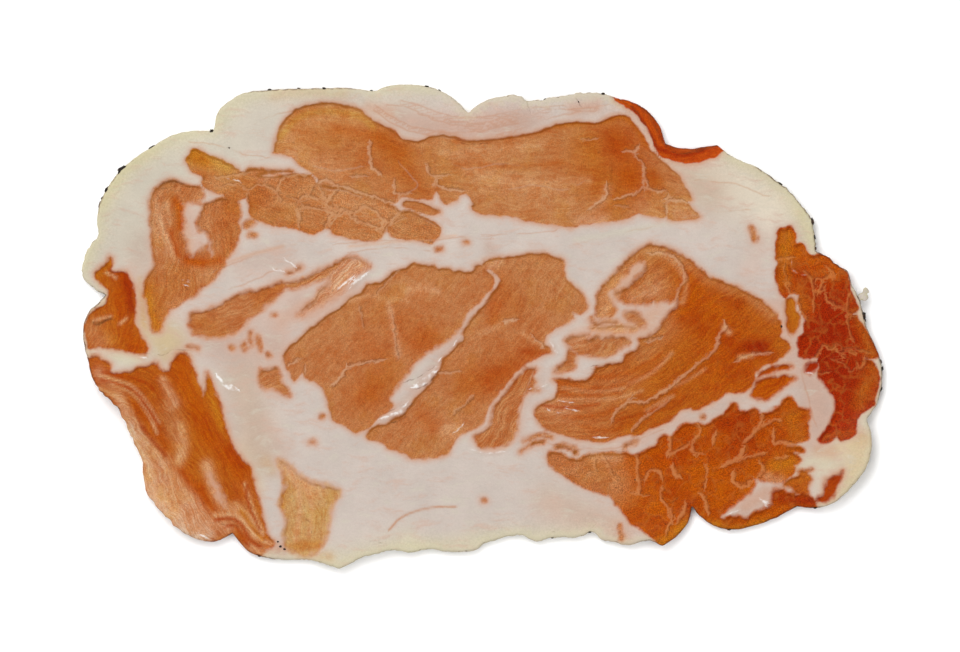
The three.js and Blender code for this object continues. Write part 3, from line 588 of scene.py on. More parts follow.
# patches of another tone in the lean: the tone, its reach, its strength and the line that it follows
leanPatches = [
    ("orange", 3.2, 0.5, [-15, 28, -12, 25]), ("sand", 2.2, 0.35, [-29, 28.5, -24, 31, -19, 30.5]),
    ("orange", 2.6, 0.3, [-25, 26, -19, 25]), ("ochre", 2.8, 0.6, [16, 27.4, 17.5, 23.4, 19.4, 20]),
    ("orange", 2.6, 0.75, [19.6, 28.6, 20.6, 27]), ("orange", 1.3, 0.7, [25.4, 22.4, 26.2, 21.8]),
    ("sand", 1.6, 0.4, [24, 18.2, 31, 17.2]), ("sand", 3, 0.25, [-2, 24, 5, 21, 12, 19]),
    ("amber", 0.6, 0.8, [11, 30.1, 14, 30.5, 18, 30.9, 21, 31.5, 23, 29.9, 24.6, 27.3]),
    ("clay", 2.4, 0.6, [-34, 15, -33, 19]), ("sand", 1.4, 0.35, [-22, 19, -15, 17]),
    ("olive", 1.1, 0.9, [-43.6, 26, -42.4, 25.6]), ("olive", 0.7, 0.4, [-41.5, 25.4, -38, 23.9]),
    ("clay", 2, 0.5, [-39.5, 22, -36, 21]), ("blush", 0.8, 0.4, [-49, 19, -48, 15, -46.8, 11.6]),
    ("orange", 0.7, 0.7, [-45.8, 18, -45.4, 15]), ("orange", 0.6, 0.7, [-46.6, 15, -45.6, 12.3]),
    ("rust", 0.7, 0.7, [-44, 10, -42, 9.5]), ("orange", 1.5, 0.5, [-38.3, 17.5, -38, 12]),
    ("amber", 1.4, 0.5, [-49.6, 7, -48, 2]), ("amber", 1.6, 0.9, [-57.4, 8.2, -56, 9.6]),
    ("rust", 1.4, 0.8, [-53.6, 7.4, -53.2, 5.6]), ("amber", 1.1, 0.5, [-56, -2, -54, -2.6]),
    ("rust", 1, 0.6, [-52.4, -3, -51.4, -2.6]), ("amber", 1.5, 0.55, [-45.4, -5, -43.6, -8.6]),
    ("amber", 0.5, 0.8, [-41.3, -7.4, -41.2, -10.6]),
    ("blush", 0.9, 0.75, [-57.6, -7, -54.5, -10.5, -52.6, -16, -50, -17.5, -49, -19]),
    ("blush", 1.1, 0.75, [-49, -19, -47.5, -20.7, -46, -22.7, -45, -24.2, -43.5, -26.2]),
    ("blush", 1.1, 0.7, [-43.5, -26.2, -42, -28.2, -40.3, -29.7, -38.5, -30.2]),
    ("sand", 2, 0.6, [-52.6, -18, -50.4, -23, -48, -27, -44, -30]),
    ("clay", 1.8, 0.6, [-46.8, -12.5, -46.5, -17]), ("rust", 1.6, 0.5, [-56.8, -7.6, -53, -9]),
    ("rust", 1.3, 0.55, [-42.5, -13, -40, -17, -37, -20.5, -35.4, -26]),
    ("clay", 1.2, 0.6, [-36, -24, -34.4, -30]),
    ("sand", 0.9, 0.6, [-40, -28.3, -37, -28.7, -35.5, -30, -34.5, -31]),
    ("blush", 0.6, 0.6, [-48, -8, -46, -11.5]), ("sand", 1.6, 0.6, [-29.4, -21.6, -25, -24.4]),
    ("orange", 1.3, 0.6, [-33.5, 4.4, -30.6, 6]), ("orange", 1.4, 0.4, [-43, 0.4, -40, 0.6]),
    ("tan", 2.6, 0.5, [-25, -1, -19, 3, -12, 7]), ("orange", 3, 0.4, [-15, 2, -9, -1.5]),
    ("orange", 3, 0.45, [-18, -11, -15, -7]), ("orange", 2.2, 0.5, [3, 6, 5, 3]),
    ("tan", 2.4, 0.7, [7, 9, 12.5, 6, 14, 3]), ("orange", 2.8, 0.55, [-1, -9, 4, -6]),
    ("tan", 2, 0.7, [-9, -17.5, -5.5, -17]), ("rust", 1.3, 0.5, [1, -7.6, 3.4, -6.6]),
    ("orange", 0.8, 0.5, [9.4, -3.6, 7, -4.2]),
    ("tan", 1.5, 0.8, [17.6, 2, 18, 4.6, 20, 7.6, 22.8, 10.4, 25.4, 11.8]),
    ("tan", 1.2, 0.85, [25.4, 11.6, 29, 10.6, 33, 7.6, 37.6, 5.6]),
    ("tan", 1, 0.7, [37.6, 5.4, 41, 3.8, 43.6, 1.6]), ("clay", 2.4, 0.75, [25.4, 8, 26.6, 5.4]),
    ("clay", 2.2, 0.7, [24, -3.4, 28, 0.6]), ("clay", 3.4, 0.7, [9, -12.6, 14, -11, 20, -9.4]),
    ("clay", 2.4, 0.5, [10, -14.6, 18, -15.6]), ("blush", 1.2, 0.35, [9.2, -11.6, 12.4, -13]),
    ("rust", 2.6, 0.35, [33, 3, 37.6, -1.6]), ("rust", 1.6, 0.6, [39.6, -3.2, 42, -3.6]),
    ("ember", 0.9, 0.6, [40.4, -3.3, 41.4, -3.4]), ("ember", 0.7, 0.5, [43.6, -4.5, 44, -4.3]),
    ("orange", 1.6, 0.7, [38, 3.4, 38.4, 3.5]), ("clay", 2.6, 0.6, [12, -21, 19, -22.6]),
    ("rust", 2.2, 0.5, [37, -13.5, 40, -14.8, 38, -18.8]), ("ember", 1.1, 0.45, [38.4, -14.4, 38, -18.4]),
    ("rust", 2.2, 0.45, [30, -17, 26, -21]), ("amber", 2, 0.45, [44.6, -21, 43, -20]),
    ("amber", 1.6, 0.4, [45, -15, 47, -14]), ("amber", 0.7, 0.7, [26, -32, 28, -32.8, 30.8, -29.4]),
    ("amber", 0.7, 0.6, [33.6, -29.6, 38, -30.4, 43, -29]),
    ("ember", 0.9, 0.75, [43.6, -25.4, 46, -26, 49.6, -26.2]), ("rust", 1.2, 0.5, [37, -29.6, 42, -29]),
    ("orange", 1.8, 0.7, [47, 10.6, 51, 9.2]), ("orange", 1.3, 0.7, [47.6, 5, 48.4, 3]),
    ("amber", 0.8, 0.5, [52, -16.6, 55, -16]), ("fire", 4.6, 0.8, [33, 3, 36, -1, 38.4, -5, 37, -8]),
    ("rust", 1.5, 0.8, [36.4, -1.6, 38.6, -3.4, 41.4, -3]), ("ember", 0.9, 0.8, [40.2, -3.1, 42.2, -2.9]),
    ("rust", 1.1, 0.6, [37.2, 3.8, 38.6, 3.2]), ("rust", 0.9, 0.6, [32.2, 0.9, 33, -0.4]),
    ("ember", 1.1, 0.35, [19.2, 27.2, 20.2, 26.8]), ("fire", 4, 0.6, [21, 27, 23, 22]),
    ("rust", 3.4, 0.35, [40, -15, 46, -16]), ("fire", 2.2, 0.4, [47, 11, 47.4, 7]),
    ("ember", 2, 0.3, [54, -7, 57, -11]), ("orange", 2, 0.4, [-46, 6, -42, 4]),
    ("rust", 3, 0.3, [44, -14, 40, -20]), ("brick", 3.2, 0.5, [54, -7, 56, -13, 52.6, -15]),
    ("fire", 2.4, 0.6, [46.6, 12, 49, 11, 52, 8.4]),
    ("milk", 1.4, 0.4, [-52.6, -16, -51.8, -20, -49.8, -24, -46.5, -28, -42, -31]),
    ("bark", 0.2, 0.35, [19.4, 24.6, 19.3, 22, 20.4, 20]),
    ("peach", 0.8, 0.7, [18.8, 20.6, 18.2, 19, 16.8, 17.4]), ("blush", 1.4, 0.6, [23, 4.6, 25, 5.6]),
    ("rust", 4, 0.35, [20, 27, 22.4, 23]), ("sand", 1.6, 0.6, [19.4, 1, 18.6, 3, 20, 7]),
    ("milk", 1.2, 0.6, [-45, -30.4, -42, -31.6]),
    ("blush", 1.4, 0.6, [-48.4, -21, -46.6, -24.6, -44, -27.6]),
    ("peach", 1, 0.6, [-35, -33.2, -33.4, -33.6]), ("blush", 0.7, 0.7, [-33, 22.4, -31, 22.4]),
    ("peach", 1.1, 0.7, [-5.4, -15.4, -4, -15.6]), ("blush", 0.8, 0.7, [1.2, 9.4, 2.2, 9.8]),
    ("blush", 0.8, 0.6, [14.8, 15.8, 18, 16.2]), ("peach", 1, 0.7, [16.6, -19.7, 20, -19.6]),
    ("peach", 0.8, 0.6, [42.8, -22.7, 44.4, -23]), ("blush", 0.8, 0.6, [13.6, -2.4, 15, -1.4]),
    ("ochre", 2.4, 0.35, [-27, 29, -20, 30]), ("olive", 1.4, 0.4, [-43.4, 25.4, -41, 24.6, -38.6, 23.6]),
    ("ochre", 1.6, 0.6, [-57.6, -0.4, -56, -2]),
    ("blush", 0.45, 0.6, [-14.2, 3.6, -13.6, 1.5, -13.4, 0, -12.8, -2, -12.6, -4.4]),
    ("sand", 0.4, 0.6, [-20, 4, -17, 4.6, -14.6, 4.2, -12, 4.2, -11.2, 3.9]),
    ("blush", 0.35, 0.6, [-9.6, 5.6, -8, 5.7, -6.6, 5.3]),
    ("tan", 1.4, 0.8, [-16, 5.8, -13, 7.6, -9, 8.4]), ("fire", 1.3, 0.3, [-17.4, -10.2, -15.8, -10.8]),
    ("fire", 1.4, 0.3, [-9.6, -2.6, -7.4, -0.6]),
    ("ember", 0.3, 0.8, [22.4, 32.8, 24, 30.8, 25, 28.8, 26, 27, 27.6, 26.2, 30, 25.6, 33, 26.2]),
    ("blush", 1, 0.8, [-22, 6, -20, 8, -18, 9.4]), ("fire", 1.5, 0.8, [31, 7.4, 31.8, 4, 30, 1.6]),
    ("rust", 1, 0.5, [36, -6.4, 40, -7]),
    ("sand", 0.4, 0.4, [24.6, 11.1, 26.6, 11, 28.6, 9.7, 30.1, 7.6, 30.5, 5.6, 30, 3.6]),
    ("fire", 0.4, 0.55, [11.5, -8.4, 16, -9.2, 20, -9, 24, -7.6, 27, -5.4]),
    ("fire", 0.35, 0.55, [11.5, -10, 16, -10.4, 20.4, -10]),
    ("rust", 0.3, 0.7, [9, -11.9, 13, -12.2, 17.4, -11.6]),
    ("fire", 0.4, 0.55, [12, -13.6, 17, -13.4, 20, -12.4]),
    ("fire", 0.4, 0.55, [15, -15, 19, -15.6, 22, -14.6]),
    ("rust", 0.5, 0.5, [20, -14, 24, -13.2, 27, -12, 30, -11]),
    ("fire", 0.4, 0.55, [16, -7.6, 20, -7.4, 24, -6, 26.4, -4.4]),
    ("peach", 0.25, 0.4, [12, -9.2, 17, -9.8, 21.6, -9.2]),
    ("peach", 0.25, 0.45, [10.6, -11, 15, -11, 20, -10.8, 24, -9.6]),
    ("peach", 0.3, 0.4, [22, -8.6, 25.6, -6.8, 28.4, -4]),
    ("peach", 0.25, 0.4, [26.6, -9.8, 30, -8.4, 33.4, -6.4]),
    ("peach", 0.25, 0.5, [24.6, -12.6, 27, -11.2, 28.6, -10.4]), ("peach", 0.4, 0.6, [36.2, 0, 37, -0.9]),
    ("peach", 0.35, 0.7, [38.6, -4.6, 40.4, -4.4]), ("clay", 3.2, 0.8, [11, -19.6, 15, -21.6, 19, -24]),
    ("rust", 1.7, 0.8, [35.6, -14.4, 39.6, -14]), ("rust", 1.3, 0.8, [36.6, -18.8, 38.6, -17.8]),
    ("rust", 1.4, 0.6, [28, -25.4, 31, -26.6, 29, -28]), ("rust", 1, 0.6, [28.4, -19.8, 31.4, -19]),
    ("ochre", 1.2, 0.6, [46.4, -13.6, 47.4, -17.6]), ("ochre", 1, 0.6, [44, -21, 46.4, -20.4]),
    ("ochre", 0.9, 0.7, [34, -29.9, 37.4, -30.6, 42, -29.6]),
    ("ochre", 0.8, 0.7, [27, -32.6, 30.4, -29.8]), ("ochre", 1.3, 0.7, [45.4, 13.6, 45, 10, 45.2, 6.6]),
    ("ochre", 0.8, 0.6, [46.4, 3.6, 47, 0.4]), ("ember", 2.2, 0.5, [52.4, 3.6, 53.4, -2.6]),
    ("ember", 1.6, 0.5, [52, -5.4, 54.6, -8.6]), ("ember", 1.3, 0.8, [51.2, -0.6, 52.4, -1.4]),
    ("orange", 1.2, 0.7, [56.4, 2, 58, -2.6, 58.8, -6]), ("orange", 1.2, 0.7, [58, -8, 56.4, -11.6]),
    ("fire", 1.6, 0.7, [49.6, 10, 53.6, 8]), ("fire", 1.9, 0.8, [21.8, 22.8, 22.2, 22.2]),
    ("orange", 3.2, 0.5, [14, 24, 19, 19.6]),
    ("fire", 1, 0.55, [-22, 29.5, -18, 29, -15.4, 28.2, -12, 26]),
    ("olive", 0.6, 0.45, [-30.2, 28.6, -27.6, 31.4, -23.6, 32.3, -18.8, 31.7, -16.4, 30]),
    ("bark", 0.22, 0.5, [22.6, 34, 24.6, 32.2, 26, 30, 27, 27.8, 28.8, 26.5, 31, 26.2, 33.8, 27]),
    ("blush", 1.6, 0.6, [-50.8, -20.5, -49.6, -24, -46.5, -28, -42, -31]),
    ("orange", 2.6, 0.6, [-15, 27.6, -11.4, 23, -9, 20]), ("sand", 1.8, 0.4, [-28, 26, -22, 23]),
    ("orange", 2, 0.6, [-36, 18, -33.6, 19.6]), ("orange", 0.8, 0.6, [-30, 14.8, -22, 13.6]),
    ("fire", 0.6, 0.5, [-4, 28, 4, 28.6, 10, 29.4]), ("sand", 0.5, 0.4, [-6, 26, 2, 26.6, 9, 27.4]),
    ("orange", 0.5, 0.5, [-4, 24.4, 4, 24, 12, 24.6]), ("sand", 0.6, 0.4, [0, 22, 8, 21.6, 16, 22]),
    ("fire", 1.8, 0.4, [-18, -2.6, -15.4, -4]), ("fire", 2, 0.4, [-9.4, -1.6, -7.4, -3.4]),
    ("fire", 2.2, 0.35, [-17.6, -10, -15.6, -8.4]), ("tan", 1.6, 0.7, [-13, 7.4, -8, 7.6, -3, 7]),
    ("fire", 2.4, 0.4, [-2, -8, 3.6, -7.6, 7, -4.4]), ("fire", 1.2, 0.6, [2, 3, 1.6, 1]),
    ("fire", 1.5, 0.5, [-9, -13.4, -7.6, -15]), ("rust", 0.5, 0.5, [5.6, -3.6, 9.4, -4.1]),
    ("peach", 0.35, 0.5, [6, -1, 8, -2.4, 9.6, -2.6]), ("peach", 0.4, 0.4, [-0.4, -1, 4.4, 0.8]),
    ("sand", 1, 0.5, [-11.4, 5.6, -8, 5.8]),
    ("fire", 1.5, 0.85, [-45.6, -5, -44.8, -8, -43, -12, -41, -17]),
    ("fire", 1.3, 0.8, [-38.6, -19, -36.6, -22, -36, -25]),
    ("rust", 0.8, 0.7, [-37.6, -18.4, -35.8, -21]),
    ("fire", 1.2, 0.8, [-51.6, -11.6, -49.8, -14.4, -47.6, -18]),
    ("fire", 0.9, 0.8, [-45.8, -20.8, -44, -23, -41.6, -26]),
    ("fire", 0.5, 0.8, [-42.4, -24, -40.4, -27.6]),
    ("ochre", 0.6, 0.8, [-41.4, -7.8, -40.4, -11, -39.2, -15]),
    ("peach", 1, 0.8, [-52.4, -16.8, -50.6, -20.6, -49.6, -24, -46, -28]),
    ("peach", 0.6, 0.4, [-47.6, -9, -46.8, -12]),
    ("peach", 0.8, 0.8, [-45.4, -15, -45, -18.4, -45.7, -20.4]),
    ("peach", 0.8, 0.8, [-41.4, -20.8, -40.4, -23.6, -39, -26.6, -37, -27.4]),
    ("peach", 0.28, 0.9, [-40, -28.3, -37.4, -28.2, -35.6, -29.6, -34, -31.6, -31.6, -32.6]),
    ("peach", 0.28, 0.9, [-37, -26.4, -34.8, -28.6, -33, -31.2]),
    ("peach", 0.25, 0.9, [-35.7, -23.6, -34.6, -27, -32.9, -30.8]),
    ("rust", 0.28, 0.9, [-40, -29, -37.6, -28.8, -36, -30, -35, -32, -33.4, -33]),
    ("rust", 0.28, 0.8, [-38.5, -30, -37.2, -29.9, -36.2, -31.2, -35.2, -32.8]),
    ("rust", 0.25, 0.8, [-35.4, -24, -35, -27, -33.4, -30.4]),
    ("ochre", 0.3, 0.8, [-36.2, -27.6, -34.6, -30, -33, -32]),
    ("peach", 0.28, 0.8, [-57.4, -7.4, -53, -8.8, -50.5, -11.2, -48.6, -14.4]),
    ("peach", 0.25, 0.8, [-56, -8.5, -52.4, -10.2, -50.2, -13, -48.8, -16]),
    ("peach", 0.28, 0.7, [-57.5, -9.2, -54.5, -10.8, -52.6, -13, -51.4, -16]),
    ("rust", 0.28, 0.8, [-57, -8, -52.6, -9.4, -50.4, -12, -48.2, -15.4]),
    ("rust", 0.3, 0.7, [-57, -6.9, -52, -7.8, -49.4, -9.4]),
    ("rust", 0.25, 0.7, [-51, -15, -49.2, -17.4, -47.6, -19.4]),
    ("clay", 1.6, 0.8, [-58.6, -0.4, -57.4, -2.6]), ("fire", 1.4, 0.8, [-53.6, -1, -51.8, -3]),
    ("ember", 1, 0.9, [-53.4, 6.6, -52.8, 2.6]), ("rust", 0.9, 0.8, [-55.2, 8, -53.6, 7.6]),
    ("fire", 1.2, 0.8, [-54.6, 5, -54.2, 2]), ("peach", 0.25, 0.8, [-58.2, 0.9, -56.8, 1.3, -55.8, 1.5]),
    ("peach", 0.25, 0.8, [-54.4, 0.4, -53.4, 1.2]),
    ("peach", 0.22, 0.8, [-56.5, 8.1, -55.6, 7.7, -55, 7.3]),
    ("bark", 0.2, 0.7, [-58.3, 0.5, -57.6, 0.4, -56.6, 0.9, -55.7, 1.2]),
    ("peach", 0.35, 0.5, [-48.8, 18.4, -48, 14.6, -46.9, 11.4, -45.6, 9.8]),
    ("peach", 0.3, 0.5, [-47.4, 18.4, -46.8, 15, -45.9, 12]),
    ("sand", 0.6, 0.5, [-49.4, 19.4, -49.2, 14, -48.4, 11]),
    ("fire", 0.7, 0.85, [-46.2, 19, -45.2, 17.4, -45.2, 14.8]),
    ("fire", 0.45, 0.8, [-46.8, 14.4, -46, 12, -45.6, 10.6]),
    ("fire", 0.9, 0.8, [-44.4, 9.8, -42, 9.6, -39.6, 10]),
    ("bark", 0.25, 0.5, [-48.4, 21.3, -46.6, 21.8, -44.8, 21.5]),
    ("ochre", 1, 0.9, [-50.4, 5.6, -49.8, 2.4, -48.8, 0]),
    ("ochre", 1.3, 0.8, [-43.8, 25.8, -41.6, 24.8]),
    ("peach", 0.4, 0.7, [-29, -21, -27.4, -26, -28, -32]),
    ("peach", 0.35, 0.6, [-27, -22.6, -25.6, -27, -26, -31.4]), ("ochre", 0.5, 0.7, [-30, -22, -30, -29]),
    ("ochre", 0.8, 0.6, [-28, -33, -24.6, -32.6]),
]

# patches of another tone in the fat, in the same order
fatPatches = [
    ("chalk", 9, 0.9, [-53, 14, -50, 20, -40, 28]), ("chalk", 5, 0.6, [-32, 33.6, -12, 33]),
    ("cream", 2.2, 0.85, [-60, 10, -58, 17, -54, 24, -47, 28.6, -41, 31]),
    ("cream", 1.6, 0.6, [-40, 31, -33, 35.6, -22, 36]), ("cream", 1.3, 0.5, [-16, 36, -8, 36]),
    ("milk", 5.2, 0.9, [28, 24, 36, 22, 44, 18]), ("lemon", 2, 0.5, [37, 26.4, 43, 23.4, 48, 18.4]),
    ("lemon", 2, 0.7, [48.6, 17, 49.6, 13]), ("biscuit", 3.4, 0.9, [55, -17.4, 57, -20, 54, -24]),
    ("cream", 2.4, 0.6, [47.6, -21, 51, -20]), ("cream", 2.6, 0.7, [-26, -35.6, -20, -35.6, -10, -33]),
    ("cream", 2, 0.6, [-10, -33, 2, -32, 10, -31.6, 16, -31]),
    ("lemon", 1.2, 0.6, [-37.5, -31, -44, -30.6, -49.6, -25]),
    ("straw", 0.9, 0.6, [-23, -34.6, -27, -34.4]), ("rose", 2.4, 0.5, [10, -27, 20, -30, 22, -32]),
    ("rose", 1.6, 0.45, [-10, 30, 0, 30.4, 9, 31.4]), ("mauve", 2.4, 0.7, [49, -7, 50.4, -10, 50.8, -13]),
    ("mauve", 2.2, 0.6, [45, 3, 46.8, -2, 47.6, -7]), ("mauve", 2.4, 0.5, [48, -12, 48.6, -17]),
    ("mauve", 1.4, 0.5, [8.6, -8, 6, -12, 5.4, -16]),
    ("mauve", 1.4, 0.5, [10, -17, 20, -18, 28, -15, 36, -12, 43, -9]),
    ("mauve", 3.4, 0.45, [-40, -2, -34, -2, -32, -6]), ("mauve", 2.6, 0.5, [-51.4, 8, -50.6, 12]),
    ("mauve", 2, 0.4, [-36, 9, -30, 11]), ("biscuit", 2.2, 0.6, [-36, -19, -34, -24]),
    ("tan", 0.18, 0.6, [-14, -30.5, -12, -28.5, -8, -27.2, -4, -27]),
    ("pearl", 1.6, 0.8, [-9, -30.4, -4, -29.8]), ("blush", 1.4, 0.45, [20, -30, 21, -32]),
    ("blush", 0.2, 0.6, [8.5, -17.8, 9.5, -17]), ("blush", 0.3, 0.5, [-42, 8, -36, 10.4, -30, 12]),
    ("blush", 0.25, 0.5, [-20, 12, -12, 12.8, -4, 13.6]), ("chalk", 0.5, 0.6, [14, 13, 20, 14, 30, 16]),
    ("rose", 1.4, 0.4, [-38, 3, -30, -1, -31, -9]), ("rose", 1.3, 0.45, [8, -5, 4, -9, 1.4, -13.6]),
    ("rose", 1.2, 0.4, [8, -17, 20, -18, 30, -14]), ("rose", 1.3, 0.4, [49.4, -8, 50.4, -15]),
    ("straw", 1.4, 0.4, [-48.6, 0, -47.6, -4.6]), ("lemon", 2.2, 0.4, [-48.6, -0.6, -46.8, -4]),
    ("rose", 1.5, 0.4, [-33, -14, -30, -19]), ("rose", 2, 0.35, [40, 8, 42, 13]),
    ("olive", 0.6, 0.35, [-51.4, 7, -50.8, 2, -50, -1]), ("oat", 3.6, 0.8, [-36, -8, -35, -13, -34, -18]),
    ("mauve", 2.2, 0.8, [-12, 31, -6, 29.6, 0, 29.4, 6, 30.4]), ("oat", 3.2, 0.8, [30, 23, 34, 20]),
    ("mauve", 2.2, 0.7, [50, -9, 51, -12, 50, -15]), ("straw", 1.3, 0.9, [-50.8, 5, -50.6, 0]),
    ("oat", 2.6, 0.7, [-48, -1, -45.6, -2]), ("mauve", 2.6, 0.6, [-39, -2, -34, -3.4, -31, -3]),
    ("oat", 3, 0.5, [10, -26, 15, -28, 19, -30]), ("rose", 2, 0.8, [-44.4, 18, -43.4, 14, -42.8, 11]),
    ("blush", 0.7, 0.5, [-44.6, 15, -44, 11.6]), ("blush", 1.5, 0.8, [19.6, 4.4, 21.6, 7, 24.4, 9.8]),
    ("rose", 2.4, 0.6, [17, 0, 22, -0.4, 26, 2]), ("rose", 2, 0.7, [-32, 22, -28, 21]),
    ("rose", 1.6, 0.7, [-40, 21, -37, 18]), ("mauve", 1, 0.6, [-4, -2, -1, 3, 2.4, 8, 1, 12]),
    ("rose", 3, 0.5, [-30, 6, -26, 3, -22, 6]), ("pearl", 1.6, 0.8, [-31.6, -22, -31.4, -28]),
    ("salmon", 1.6, 0.9, [-41, -21.5, -40, -25, -38, -27.2]),
    ("mauve", 0.8, 0.6, [-14, -13, -11, -10.4, -7.5, -6, -4, -2]),
    ("rose", 1.6, 0.7, [43.8, 3, 45.6, -2, 46.4, -6]), ("clay", 1.2, 0.6, [-32, -33.2, -30, -33.4]),
    ("salmon", 1.6, 0.6, [39.4, -27, 42.5, -25]), ("orange", 1.2, 0.6, [45, -24, 46.6, -23.6]),
    ("clay", 1.2, 0.6, [45, -28, 47, -28]), ("salmon", 1, 0.6, [56, 1.6, 58, 0]),
    ("straw", 1.4, 0.38, [-31, 35, -26, 35.6, -21, 35.2]), ("salmon", 1.2, 0.5, [-17, 32.8, -14, 32]),
    ("salmon", 1.2, 0.5, [13.6, 32.6, 17, 33]), ("salmon", 1.2, 0.5, [50.4, -18.4, 52.4, -18.8]),
    ("straw", 1.2, 0.5, [56.4, -16.4, 58, -17]), ("straw", 1.2, 0.5, [-32.4, -20.4, -31.6, -21.4]),
    ("straw", 2.2, 0.3, [-47.6, -1.5, -46, -3.6]), ("rose", 2.2, 0.5, [-4, 29.4, 2, 29.8]),
    ("salmon", 1.6, 0.4, [-26, 2, -23, 4, -20, 6]), ("blush", 1.6, 0.45, [17, 0, 24, 1, 28, 4]),
    ("blush", 1.2, 0.5, [14, -1.4, 20, -1.4, 27, -0.4]), ("mauve", 3, 0.5, [-6, 29, 4, 30]),
    ("salmon", 1.4, 0.4, [-30, 1, -26, 3, -22, 5]), ("lemon", 2.4, 0.4, [-50.6, -1.4, -47, -2]),
    ("cream", 2, 0.8, [-56, -3.6, -52, -4.6]), ("lemon", 1.4, 0.7, [-57.6, 19, -54.4, 23.6, -50, 27]),
]

# where lean and fat run into each other: how much softer, how far, and where
softPlaces = [
    (0.22, 1, [-13.6, -10.6, -10.6, -7, -7, -3.6, -3.6, 0]), (0.3, 1.8, [19.6, 4.4, 21.6, 7, 24.4, 9.8]),
    (0.2, 2.6, [17, 0, 22, -0.4, 27, 2.6]), (0.35, 2, [-44.4, 18, -43.4, 14, -42.8, 11]),
    (0.3, 1.4, [-32.4, 22.2, -29.6, 21.6]), (0.25, 1.6, [28.4, 9.8, 30.4, 6.4, 29.6, 3.4]),
    (0.35, 2, [-41, -21, -38.6, -26]), (0.25, 3, [38, -24, 42, -25.4]), (0.3, 2, [48.4, -8, 50.6, -12]),
    (0.3, 2.4, [-30, -20, -24, -21.6]),
]

# small flecks of lean in the fat: radius and line
leanFlecks = [
    (0.16, [-37.7, -3.1, -37.3, -3.2]), (0.15, [-35.7, -2.6, -35.5, -3.2]),
    (0.14, [-44.2, -3.1, -42.8, -3.3]), (0.2, [-29.2, 8, -28.6, 8.2]), (0.14, [-27.8, 8.6, -27.2, 8.8]),
    (0.4, [-35.3, 15.3, -34.8, 15.5]), (0.2, [-34.9, 13.8, -34.2, 13.6]),
    (0.2, [-34.7, -0.9, -34.8, -1.8, -34.5, -2.6]), (0.2, [-33.7, -1.6, -33.5, -2.5, -33.3, -3.6]),
    (0.14, [-35.9, -3.1, -35.7, -3.5]), (0.14, [-32.1, -4.2, -31.9, -4.4]),
    (0.16, [-25.8, -17.4, -25.3, -17.4]), (0.14, [-24.1, -13.5, -23.9, -13.5]),
    (0.22, [40.3, 14.8, 40.6, 14, 40.9, 13.1]), (0.13, [0, -26.1, 0.3, -26.1]),
    (0.13, [32.9, -13.5, 33.2, -13.5]), (0.16, [-6.8, 11.6, -6.2, 11.7]),
    (0.14, [-2.7, 12.6, -2.3, 12.6]), (0.16, [5.7, -18.8, 6.8, -18, 8, -17.4, 9.3, -17.2]),
    (0.15, [6.3, -17.2, 7.5, -16.6, 9, -16.2, 10.5, -16.5]),
    (0.22, [11.3, -18, 12.5, -17.9, 13.8, -18.3, 14, -18.9]),
    (0.13, [16.4, 1.1, 16.6, 0.5, 17.5, 0.2, 18.2, 0.7, 20.2, 0.7]), (0.1, [-27, 2.3, -25.4, 3.7]),
    (0.12, [-31.5, 1.8, -31.1, 1.8]), (0.12, [21.3, -18, 23, -17.3]), (0.1, [20.7, -30, 20.9, -32]),
]

# where the seams lie open and wet, and catch the light, with their glint painted in as near-white colour:
# width and line
wetGlintSeams = [
    (0.9, [-10, -8.9, -9.2, -8.5, -8.6, -8.1]), (0.5, [-8.6, -8, -7.8, -7.4, -7.1, -6.9]),
    (0.45, [-13.8, -13.4, -12.9, -13, -12.2, -12.7]), (0.25, [-12.3, -12.5, -11.8, -12, -11.4, -11.6]),
    (0.2, [-15.3, -13.9, -14.2, -13.6]), (0.25, [-6.9, -5.6, -6.3, -4.9]),
    (0.2, [-4.2, -2.6, -3.6, -1.9]), (0.2, [-4.2, -15.7, -3, -14.8]),
    (0.2, [10.2, -2.6, 10.7, -3.3, 11.2, -3.9]), (0.16, [-1.4, -18.6, 1, -18.9, 3, -18.7]),
    (0.2, [-42.4, -31.1, -41.2, -31.6]), (0.2, [-51.5, -4.5, -50.6, -4.6]),
    (0.5, [-39.7, -7.4, -38.6, -8.8, -37.2, -9.6]), (0.8, [-38, -9.1, -37.1, -9.5]),
    (0.4, [-19.6, 6, -18.8, 6.8, -17.4, 7.8]), (0.2, [-21.6, 5.6, -20.6, 6.4, -19.4, 7.4]),
    (0.14, [11.6, -11.2, 13.4, -11.4]), (0.14, [10, -12.6, 11.4, -12.9]),
    (0.12, [12.8, -12.4, 14, -12.6]), (0.14, [17, -16.6, 18.4, -16.5]), (0.12, [6.4, -9.4, 8, -9.2]),
    (0.14, [8.4, -9.3, 9.8, -8.8]), (0.16, [37, -28.2, 38.4, -27.6]), (0.2, [41.8, -26, 42.6, -26.9]),
    (0.2, [49, -6.9, 49.5, -7]), (0.2, [42, -26.2, 42.8, -26.4]), (0.14, [-44.8, 7.1, -44.4, 7.1]),
    (0.14, [-44.7, 6.2, -44.3, 6.1]), (0.12, [-38, 22.1, -36.3, 21.7]), (0.09, [-29.6, 10, -28, 9]),
    (0.07, [-31.4, 8.6, -29, 7.8]),
]

